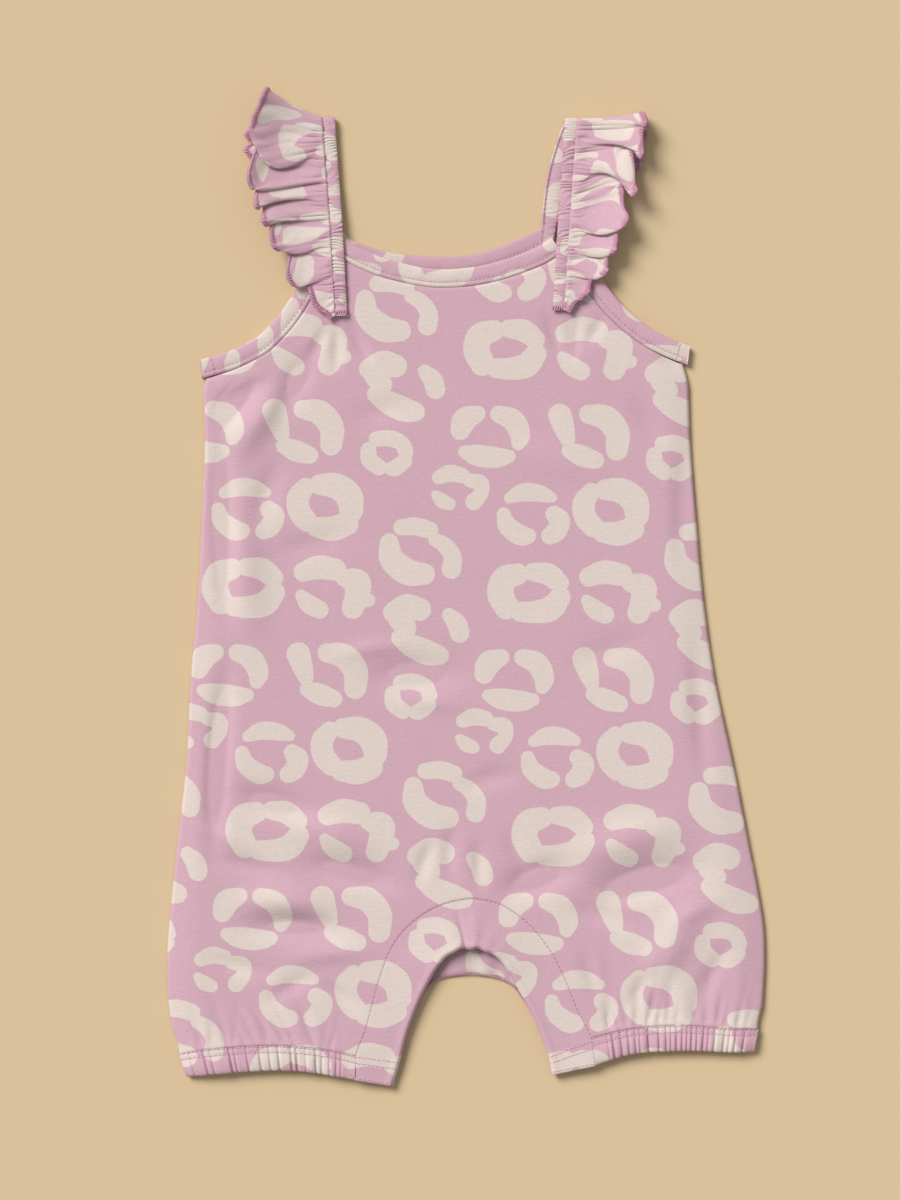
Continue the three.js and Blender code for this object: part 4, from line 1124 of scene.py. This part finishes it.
def binding_rings(line, base, scale, cut_inset, seed):
    """A binding as rings round its section, its underarm end cut along the side seam."""
    curve, shear = curves[line], BINDING_SHEAR.get(line, 0.0)
    u = np.linspace(0, 1, int(curve.length / 0.6) + 1)
    from_end = (u if shear < 0 else 1 - u) * curve.length
    tangent = np.gradient(curve.at(u), axis=0)
    tangent /= np.linalg.norm(tangent, axis=1, keepdims=True)
    lower = 1 - 0.28 * np.exp(-from_end / 14) * (shear != 0)
    pull = wander(u, max(8, int(curve.length / 5)), seed, -0.22, 0.22)
    fine = wander(u, max(8, int(curve.length / 1.6)), seed + 9, -0.1, 0.1)
    rings, flat = [], []
    for across, height in BINDING_OVER + BINDING_UNDER:
        swell = pull * math.exp(-((across - 3.8) / 2.6) ** 2) + fine * math.exp(-((across - 6.6) / 1.2) ** 2)
        plan = curve.at(u, max(across, cut_inset) + (0.12 * pull if across < 1 else 0.0))
        plan = plan + tangent * (shear * across / BINDING_WIDTH * np.exp(-from_end / 5))[:, None]
        rings.append(np.column_stack([plan, base + (height * lower + swell * (height > 0.9)) * scale]))
        flat.append(np.column_stack([u * curve.length, np.full(len(u), across)]))
    return np.stack(rings, 1), np.stack(flat, 1)


class ROMPER_OT_bindings(bpy.types.Operator):
    """Bindings of the neck and armholes, front and back, each with its row of stitches"""

    bl_idname = "romper.bindings"
    bl_label = "Bindings"

    def execute(self, context):
        for name, line, cut, node, seed in (
            ("front_neck", "front_neck", "neck", "front_neck_binding", 31),
            ("back_neck", "back_neck", "back_neck", "back_neck_binding", 32),
            ("front_armhole_left", "armhole_left", "armhole_left", "front_armhole_binding_left", 33),
            ("front_armhole_right", "armhole_right", "armhole_right", "front_armhole_binding_right", 34),
            ("back_armhole_left", "armhole_left", "armhole_right", "back_armhole_binding_left", 35),
            ("back_armhole_right", "armhole_right", "armhole_left", "back_armhole_binding_right", 36),
        ):
            front, armhole = name.startswith("front"), "armhole" in name
            # The back bindings take the "inside" look, the darker copy of the jersey with painted shade of
            # the under layer
            base, scale, look = (FRONT_BINDING_BASE, 1.0, "cloth") if front else (0.0, 0.92, "inside")
            rings, flat = binding_rings(line, base, scale, 0.5 if armhole and not front else 0.0, seed)
            obj = cloth_piece(name + "_binding_cloth", ring_body(rings), flat, cut, node, look)
            rows = [rings[2:-2, STITCH_PLACE] + np.array([0, 0, 0.1])]
            if armhole and front:
                place = BAR_TACK_PLACE if line == "armhole_left" else -BAR_TACK_PLACE
                rows.append(rings[place, 3:len(BINDING_OVER) - 3] + np.array([0, 0, 0.06]))
            sewing = stitch_row(name + "_binding", rows, context.scene.romper_trim.binding_pitch, "binding")
            flat = (curves[line].length * MILLIMETRE, BINDING_SHOWN * MILLIMETRE)
        return {"FINISHED"}


def hem_rings(side):
    """A front leg hem as rings round its casing, creased by its gathers."""
    top, edge = curves["hem_top_" + side], curves["hem_edge_" + side]
    u = np.linspace(0, 1, int(top.length / 0.17) + 1)
    low, high = edge.at(u), top.at(u)
    width = np.linalg.norm(high - low, axis=1)
    out = (low - high) / width[:, None]
    gathered = gathered_share(side, high[:, 0])
    valley = gathered * hem_valleys(side, high[:, 0], np.zeros_like(u))
    puff = gathered * (0.45 + 0.3 * wander(u, 23, 61, -1.0, 1.0))
    rings, flat, rows = [], [], {}
    for share, height, puffed, creased in HEM_OVER + HEM_UNDER:
        plan = low + (high - low) * share
        scallop = (0.35 * gathered - 0.55 * np.minimum(valley, 1.4)) * max(0.0, 1 - share * 6)
        plan = plan + out * scallop[:, None]
        from_gusset = (1 - u if side == "left" else u) * top.length
        plan[:, 0] += HEM_CLOSING[side] * (1 - share) * np.exp(-from_gusset / 1.5)
        lift = mix(gathered * 0.45, puff, puffed)
        z = front_rise(plan[:, 0], plan[:, 1]) + height + lift - creased * valley
        rings.append(np.column_stack([plan, z]))
        flat.append(plan)
        rows[share] = rings[-1]
    return np.stack(rings, 1), np.stack(flat, 1), rows


class ROMPER_OT_hems(bpy.types.Operator):
    """Elastic leg hems: a gathered casing at the front with two rows of stitches, a plain one at the back"""

    bl_idname = "romper.hems"
    bl_label = "Leg Hems"

    def execute(self, context):
        for side in ("left", "right"):
            rings, flat, rows = hem_rings(side)
            obj = cloth_piece(f"front_leg_hem_{side}_cloth", ring_body(rings), flat, "hem_" + side,
                              f"front_leg_hem_{side}")
            lines = [rows[share] + np.array([0, 0, 0.1]) for share in HEM_ROWS]
            sewing = stitch_row(f"leg_hem_{side}", lines, context.scene.romper_trim.hem_pitch, "leg_hem")
            top, edge = curves["hem_top_" + side], curves["hem_edge_" + side]
            u, v = np.linspace(0.004, 0.996, 260), np.linspace(0, 1, 9)[None, :]
            plan = edge.at(u)[:, None] + (top.at(u) - edge.at(u))[:, None] * v[..., None]
            valley = hem_valleys(side, plan[..., 0] + 2.0, np.zeros_like(plan[..., 0]))
            rise = 1.3 - 0.25 * valley - 0.5 * np.exp(-(v * 11 / 0.8) ** 2)
            over = np.concatenate([plan, rise[..., None]], -1)
            # The "inside" look is the darker copy of the jersey, with painted shade of the under layer
            back = cloth_piece(f"back_leg_hem_{side}_cloth", shell(over, over * np.array([1, 1, 0])),
                               shell_values(plan), "back", f"back_leg_hem_{side}", "inside")
        return {"FINISHED"}


def strap_stations(strap):
    """Centre line of a strap, over the shoulder and down its back, with its upward directions and widths."""
    def run(rows, count):
        y = np.linspace(rows[0][0], rows[-1][0], count)
        return np.column_stack([column(rows, 1)(y), y, column(rows, 2)(y)])

    front, back = run(strap["front"], 460), run(strap["back"], 150)
    step = back[-1] - back[-2]
    step *= BACK_RUN_TUCK / np.linalg.norm(step)
    back = np.concatenate([back, back[-1] + step * np.linspace(0, 1, 20)[1:, None]])
    start, end = front[-1], back[0]
    radius = (start[2] - end[2]) / 2
    t = np.linspace(0, 1, 16)[1:-1]
    across, rise = np.sin(t * math.pi), np.cos(t * math.pi)
    bend = np.column_stack([mix(start[0], end[0], t), start[1] + radius * across,
                            end[2] + radius * (1 + rise)])
    down = np.linspace(0, 1, len(back))
    back[:, 0] += strap["back_bow"] * np.sin(math.pi * down) + strap["back_foot"] * soft(down)
    centre = np.concatenate([front, bend, back])
    up = np.concatenate([np.tile([0, 0, 1.0], (len(front), 1)),
                         np.column_stack([np.zeros(len(t)), across, rise]),
                         np.tile([0, 0, -1.0], (len(back), 1))])
    wider = 1 + strap["back_wider"] * np.sin(math.pi * down) ** 0.7
    return centre, up, len(front), np.concatenate([np.ones(len(front) + len(t)), wider])


# Half section of a strap: share across its half width, height
STRAP_SECTION = [
    (-1.0, 0.0), (-0.98, 0.34), (-0.88, 0.62), (-0.62, 0.88), (-0.22, 1.02),
    (0.22, 1.02), (0.62, 0.88), (0.88, 0.62), (0.98, 0.34), (1.0, 0.0),
    (0.94, -0.6), (0.7, -0.92), (0.0, -0.97), (-0.7, -0.92), (-0.94, -0.6),
]

# Distance between a strap's cross wrinkles
WRINKLE_PITCH = 2.05


def strap_rings(strap, centre, up, wider, seed):
    """A strap as rings round its section, wrinkled across, with their places on the flat cloth."""
    reach = reach_along(centre)
    share = reach / reach[-1]
    warp = 3.0 * wander(share, 40, seed, -0.5, 0.5)
    power = wander(share, 64, seed + 4, 0.45, 1.15)
    lean = wander(share, 18, seed + 8, -2.4, 2.4)
    rings, flat = [], []
    for across, rise in STRAP_SECTION:
        phase = (reach + lean * across + 0.5 * across ** 2) / WRINKLE_PITCH + warp
        valley = np.exp(-(np.abs(phase - np.round(phase)) / 0.24) ** 1.5)
        wrinkle = (0.25 - 0.95 * valley) * power * (1.0 if rise > 0 else 0.4)
        wide = strap["width"] / 2 * wider * across * (1 - 0.09 * valley * power)
        offset = rise * STRAP_THICK / 2 * 0.9 + wrinkle * np.sign(rise) * (abs(rise) > 0.3)
        ring = centre + up * offset[:, None]
        ring[:, 0] += wide
        rings.append(ring)
        flat.append(np.column_stack([wide, reach * 1.5]))
    return np.stack(rings, 1), np.stack(flat, 1)


class ROMPER_OT_straps(bpy.types.Operator):
    """Elastic shoulder straps, wrinkled across, each folded over at the shoulder"""

    bl_idname = "romper.straps"
    bl_label = "Straps"

    def execute(self, context):
        trim, slot = context.scene.romper_trim, "elastic_strap"
        for (side, strap), seed in zip(STRAPS.items(), (41, 42)):
            centre, up, front_count, wider = strap_stations(strap)
            rings, flat = strap_rings(strap, centre, up, wider, seed)
            obj = cloth_piece(f"strap_{side}_cloth", ring_body(rings), flat, "strap_" + side,
                              f"strap_{side}")
            half, face = strap["width"] / 2, STRAP_THICK / 2 * 0.9
            row = centre[:front_count] + np.array([strap["outward"] * (half - 0.8), 0, face - 0.05])
            sewing = stitch_row(f"strap_{side}", [row], trim.strap_pitch, slot)
            zigzag = centre[front_count + 20:] + np.array([0, 0, face])
            tooth = np.arange(len(zigzag)) % 2 * 1.1 + 0.5
            zigzag[:, 0] -= strap["outward"] * (half * wider[front_count + 20:] - tooth)
            sewing.append(sewn(f"strap_{side}_zigzag", "thread", [zigzag], "thread", slot,
                               Thickness=trim.thread * 0.7))
            across = np.linspace(-half, half, 30)[:, None] * np.array([1, 0, 0])
            end = centre[0] + np.array([0, 0.2, 0.1]) + across
            path = overlock_path(end, np.tile([0.0, 1.0], (len(end), 1)), 2.2, 1.05, trim.overlock_pitch)
            sewing.append(sewn(f"strap_{side}_overlock", "thread", [path], "overlock", slot,
                               Thickness=trim.thread * 1.2))
            flat = ((strap["width"] + STRAP_EDGES) * MILLIMETRE, reach_along(centre)[-1] * MILLIMETRE)
        return {"FINISHED"}


# Grid of a ruffle: rows out from its root, and columns down the front, over the shoulder and behind
RUFFLE_ROWS = 30
FRONT_COLUMNS = 560
FOLD_COLUMNS = 24
BACK_COLUMNS = 150


# A ruffle's gathers at its root, in three sets: count, depth, reach towards the edge, shift of the seed
ROOT_GATHERS = [(26, 1.15, 0.24, 0), (15, 1.1, 0.55, 3), (9, 0.85, 0.95, 6)]


def ruffle_points(side):
    """A ruffle's middle surface as a grid: along the strap's whole run, and from root to free edge."""
    strap, edge_rows = STRAPS[side], RUFFLE_EDGES[side]
    overhang = bpy.context.scene.romper_ruffle.overhang
    outward_to, half = strap["outward"], strap["width"] / 2
    edge_x, edge_y, lift, wave = (column(edge_rows, k) for k in (1, 2, 3, 4))
    folds = RUFFLE_FOLDS[side]
    turn_at = column([(at, k) for k, (at, *_) in enumerate(folds)], 1)
    lean_at, reach_at, slope_at = (column(folds, k) for k in (1, 2, 3))
    strap_x, strap_z = column(strap["front"], 1), column(strap["front"], 2)
    seed = 51 if side == "left" else 52

    def turns(share):
        first, last = folds[0][0], folds[-1][0]
        inner = turn_at(np.clip(share, first, last))
        return inner + (np.minimum(share - first, 0) + np.maximum(share - last, 0)) * 7

    def gathers(share, t):
        """Crisp gathers at the root, uneven in reach, fading into the folds."""
        total = np.zeros_like(share)
        for count, depth, long, shift in ROOT_GATHERS:
            phase = count * share + 1.6 * wander(share, count, seed + shift, -0.5, 0.5)
            phase = phase + 0.5 * t * np.sin(9 * share)
            power = wander(share, count * 2, seed + shift + 1, 0.2, 1.0)
            valley = np.exp(-((phase - np.round(phase)) / 0.17) ** 2)
            total += depth * power * (0.3 - valley) * np.exp(-(t / long) ** 2)
        return total * soft(t * 9)

    def front_half(share, t):
        y = mix(strap["front"][0][0], strap["front"][-1][0], share)
        bow = 3.2 * slope_at(share) * t * (1 - t) + 0.05 * np.sin(5 * t + 13 * share)
        crest = np.cos(2 * math.pi * (turns(share) + bow))
        flat_crest = np.tanh(1.8 * crest) / math.tanh(1.8)
        free = clamp(t * 1.15) ** 1.1 * clamp(7 * share * (1 - share))
        lettuce = np.sin(2 * math.pi * (19 * share + wander(share, 14, seed + 20, 0, 1.4)))
        lettuce = lettuce * soft((t - 0.6) / 0.4)
        x = mix(strap_x(y) + outward_to * (half - 0.9), edge_x(share), t)
        x = x + outward_to * free * (reach_at(share) * flat_crest + 0.45 * lettuce)
        y_out = mix(y, edge_y(share), t) - overhang * lean_at(share) * free * flat_crest * t ** 0.25
        y_out = y_out + 0.5 * lettuce * clamp(7 * share * (1 - share))
        z = strap_z(y) + 0.6 + lift(share) * t * t * 0.9
        z = z + wave(share) * free * (0.55 * flat_crest + 0.5 * crest)
        z = z + gathers(share, t) + 0.55 * lettuce * clamp(6 * share)
        return np.stack([x, y_out, np.maximum(z, 1.2 + 0 * z)], -1)

    back_x = column(strap["back"], 1)

    def back_half(share, t):
        y = mix(strap["front"][-1][0], strap["back"][-1][0] + 1, share)
        root_x = back_x(y) + outward_to * (half - 0.3)
        along = 1 - 0.55 * share
        bump = np.sin(2 * math.pi * (6 * share + wander(share, 7, seed + 30, 0, 0.6)))
        reach = edge_x(along) - root_x + outward_to * (2.2 * soft(3 * share) + 1.7 * bump * soft(5 * share))
        narrow = 1 - 0.97 * soft((share - 0.42) / 0.58)
        ripple = 0.6 * bump * soft(6 * share)
        return np.stack([root_x + reach * t * narrow, mix(y, mix(edge_y(along), y, soft(2 * share)), t),
                         mix(1.0, 1.9, t) + ripple * t * narrow], -1)

    def shoulder(share, t):
        a, b = front_half(np.ones_like(share), t), back_half(np.zeros_like(share), t)
        radius = (a[..., 2] - b[..., 2]) / 2
        bend = radius * np.sin(share * math.pi)
        middle = mix(a, b, share[..., None])
        return np.stack([middle[..., 0] - outward_to * 0.35 * t * bend, middle[..., 1] + 0.8 * bend,
                         b[..., 2] + radius * (1 + np.cos(share * math.pi))], -1)

    t = np.linspace(0, 1, RUFFLE_ROWS + 1)
    runs = []
    stretches = [(front_half, FRONT_COLUMNS, 0), (shoulder, FOLD_COLUMNS, 1), (back_half, BACK_COLUMNS, 1)]
    for make, count, skip in stretches:
        share = np.linspace(0, 1, count + 1)[skip:]
        s_grid, t_grid = np.meshgrid(share, t, indexing="ij")
        runs.append(make(s_grid, t_grid))
    return np.concatenate(runs)


def grid_normals(points):
    along = np.gradient(points, axis=0)
    across = np.gradient(points, axis=1)
    normal = np.cross(along, across)
    return normal / np.maximum(np.linalg.norm(normal, axis=-1, keepdims=True), 1e-9)


class ROMPER_OT_ruffles(bpy.types.Operator):
    """Gathered ruffles along the straps, folded over themselves, with an overlocked free edge"""

    bl_idname = "romper.ruffles"
    bl_label = "Ruffles"

    def execute(self, context):
        trim = context.scene.romper_trim
        overlock_width = context.scene.romper_ruffle.overlock_width / MILLIMETRE
        t = np.linspace(0, 1, RUFFLE_ROWS + 1)
        half_wall = 0.42 + 0.2 * np.exp(-((1 - t) * 30 / 2) ** 2)
        for side in ("left", "right"):
            middle = ruffle_points(side)
            normal = grid_normals(middle) * -STRAPS[side]["outward"]
            offset = normal * half_wall[None, :, None]
            width = np.linalg.norm(np.diff(middle, axis=1), axis=-1)
            out = np.concatenate([np.zeros((len(middle), 1)), np.cumsum(width, axis=1)], 1)
            along = np.repeat(reach_along(middle[:, -1])[:, None], RUFFLE_ROWS + 1, 1)
            band = soft((overlock_width + 0.3 - (out[:, -1:] - out)) / 0.6)
            obj = cloth_piece(f"ruffle_{side}_cloth", shell(middle + offset, middle - offset),
                              shell_values(np.stack([out, along], -1)), "ruffle_" + side,
                              f"ruffle_{side}", band=shell_values(band))
            path = overlock_path(middle[:, -1], middle[:, -3] - middle[:, -1], overlock_width, 0.72,
                                 trim.overlock_pitch, normal[:, -1])
            loops = sewn(f"ruffle_{side}_overlock", "thread", [path], "overlock", "ruffle",
                         Thickness=trim.thread * 1.25)
        return {"FINISHED"}


class ROMPER_OT_stage(bpy.types.Operator):
    """A plain pale floor, soft studio light from the upper left and the camera straight above"""

    bl_idname = "romper.stage"
    bl_label = "Stage"

    def execute(self, context):
        stage = context.scene.romper_stage
        half = 1.6
        mesh = bpy.data.meshes.new("floor")
        low = -0.0003
        mesh.from_pydata([(-half, -half, low), (half, -half, low), (half, half, low), (-half, half, low)], [],
                         [(0, 1, 2, 3)])
        mesh.materials.append(floor_look("pale_floor", stage.floor))
        floor = bpy.data.objects.new("floor", mesh)
        context.scene.collection.objects.link(floor)

        world = bpy.data.worlds.new("studio")
        world.use_nodes = True
        world.node_tree.nodes["Background"].inputs["Color"].default_value = (1.0, 0.985, 0.965, 1.0)
        world.node_tree.nodes["Background"].inputs["Strength"].default_value = stage.fill
        context.scene.world = world
        key = bpy.data.lights.new("key", "SUN")
        key.angle = math.radians(stage.softness)
        key.color = (1.0, 0.985, 0.96)
        lean = math.radians(stage.key_lean)
        key.energy = stage.key * math.pi / math.cos(lean)
        lamp = bpy.data.objects.new("key", key)
        lamp.rotation_euler = (-lean * 0.62, -lean * 0.78, 0.0)
        context.scene.collection.objects.link(lamp)

        view = bpy.data.cameras.new("camera")
        view.lens = 110.0
        view.sensor_fit = "VERTICAL"
        view.sensor_height = 36.0
        view.clip_end = 20.0
        image_height, pixel = 1200, 0.48 * MILLIMETRE
        distance = view.lens * image_height * pixel / view.sensor_height
        camera = bpy.data.objects.new("camera", view)
        camera.location = ((450 - 466) * pixel, (586.5 - 600) * pixel, distance)
        context.scene.collection.objects.link(camera)
        context.scene.camera = camera
        context.scene.view_settings.view_transform = "Standard"
        return {"FINISHED"}


# Properties, panel and registering

def colour_property(name, description, default):
    return bpy.props.FloatVectorProperty(name=name, description=description, default=default,
                                         subtype="COLOR", size=3, min=0.0, max=1.0)


def length_property(name, description, default):
    return bpy.props.FloatProperty(name=name, description=description, default=default, unit="LENGTH",
                                   subtype="DISTANCE", min=0.0, precision=5)


class RomperCloth(bpy.types.PropertyGroup):
    ground: colour_property("Ground", "Dyed colour of the jersey", (0.606, 0.382, 0.462))
    spot: colour_property("Spots", "Colour of the printed spots", (0.700, 0.602, 0.560))
    thread: colour_property("Thread", "Colour of the stitches", (0.690, 0.410, 0.510))
    # Dark colour of the needle-hole beads: painted shade inside the holes
    hole_shade: colour_property("Needle holes", "Colour inside the needle's holes", (0.400, 0.180, 0.250))
    overlock: colour_property("Overlock", "Colour of the overlock thread", (0.560, 0.290, 0.395))


class RomperTrim(bpy.types.PropertyGroup):
    binding_pitch: length_property("Binding stitch", "Spacing of the stitches on the bindings", 0.0021)
    arch_pitch: length_property("Arch stitch", "Spacing of the stitches round the gusset", 0.0022)
    hem_pitch: length_property("Hem stitch", "Spacing of the stitches on the leg hems", 0.0021)
    strap_pitch: length_property("Strap stitch", "Spacing of the stitches on the straps", 0.0014)
    overlock_pitch: length_property("Overlock pitch", "Spacing of the overlock loops", 0.0010)
    thread: length_property("Thread", "Thickness of the sewing thread", 0.00056)
    # Size of the dark beads that paint the shade of the needle holes
    needle_hole: length_property("Needle hole", "Width of the needle's holes", 0.00060)


class RomperRuffle(bpy.types.PropertyGroup):
    overhang: bpy.props.FloatProperty(name="Overhang", description="How far each fold leans over the next",
                                      default=1.0, subtype="FACTOR", min=0.0, max=2.0)
    overlock_width: length_property("Overlock width", "Width of the overlocked band", 0.0026)


class RomperStage(bpy.types.PropertyGroup):
    floor: colour_property("Floor", "Colour of the floor", (0.672, 0.523, 0.329))
    fill: bpy.props.FloatProperty(name="Fill", description="Strength of the even light all round",
                                  default=0.36, min=0.0)
    key: bpy.props.FloatProperty(name="Key", default=0.66, min=0.0,
                                 description="Share of the floor's light that the key light gives")
    key_lean: bpy.props.FloatProperty(name="Key lean", default=48.0, min=0.0, max=80.0,
                                      description="Degrees of the key light from straight down")
    softness: bpy.props.FloatProperty(name="Softness", description="Width of the key light in degrees",
                                      default=28.0, min=1.0, max=90.0)


class ROMPER_PT_panel(bpy.types.Panel):
    bl_idname = "ROMPER_PT_panel"
    bl_label = "Baby Romper"
    bl_space_type = "VIEW_3D"
    bl_region_type = "UI"
    bl_category = "Romper"

    def draw(self, context):
        for group in ("romper_cloth", "romper_trim", "romper_ruffle", "romper_stage"):
            settings = getattr(context.scene, group)
            box = self.layout.box()
            for name in settings.bl_rna.properties.keys():
                if name not in {"rna_type", "name"}:
                    box.prop(settings, name)
        for operator in operators:
            self.layout.operator(operator.bl_idname)


groups = {"romper_cloth": RomperCloth, "romper_trim": RomperTrim, "romper_ruffle": RomperRuffle,
          "romper_stage": RomperStage}
operators = [ROMPER_OT_stage, ROMPER_OT_back_body, ROMPER_OT_front_body, ROMPER_OT_gussets,
             ROMPER_OT_bindings, ROMPER_OT_hems, ROMPER_OT_straps, ROMPER_OT_ruffles]


def register():
    for name, group in groups.items():
        bpy.utils.register_class(group)
        setattr(bpy.types.Scene, name, bpy.props.PointerProperty(type=group))
    for operator in operators:
        bpy.utils.register_class(operator)
    bpy.utils.register_class(ROMPER_PT_panel)


def unregister():
    bpy.utils.unregister_class(ROMPER_PT_panel)
    for operator in reversed(operators):
        bpy.utils.unregister_class(operator)
    for name, group in reversed(groups.items()):
        delattr(bpy.types.Scene, name)
        bpy.utils.unregister_class(group)


def main():
    register()
    bpy.ops.romper.stage()
    bpy.ops.romper.back_body()
    bpy.ops.romper.front_body()
    bpy.ops.romper.gussets()
    bpy.ops.romper.bindings()
    bpy.ops.romper.hems()
    bpy.ops.romper.straps()
    bpy.ops.romper.ruffles()


if __name__ == "__main__":
    main()
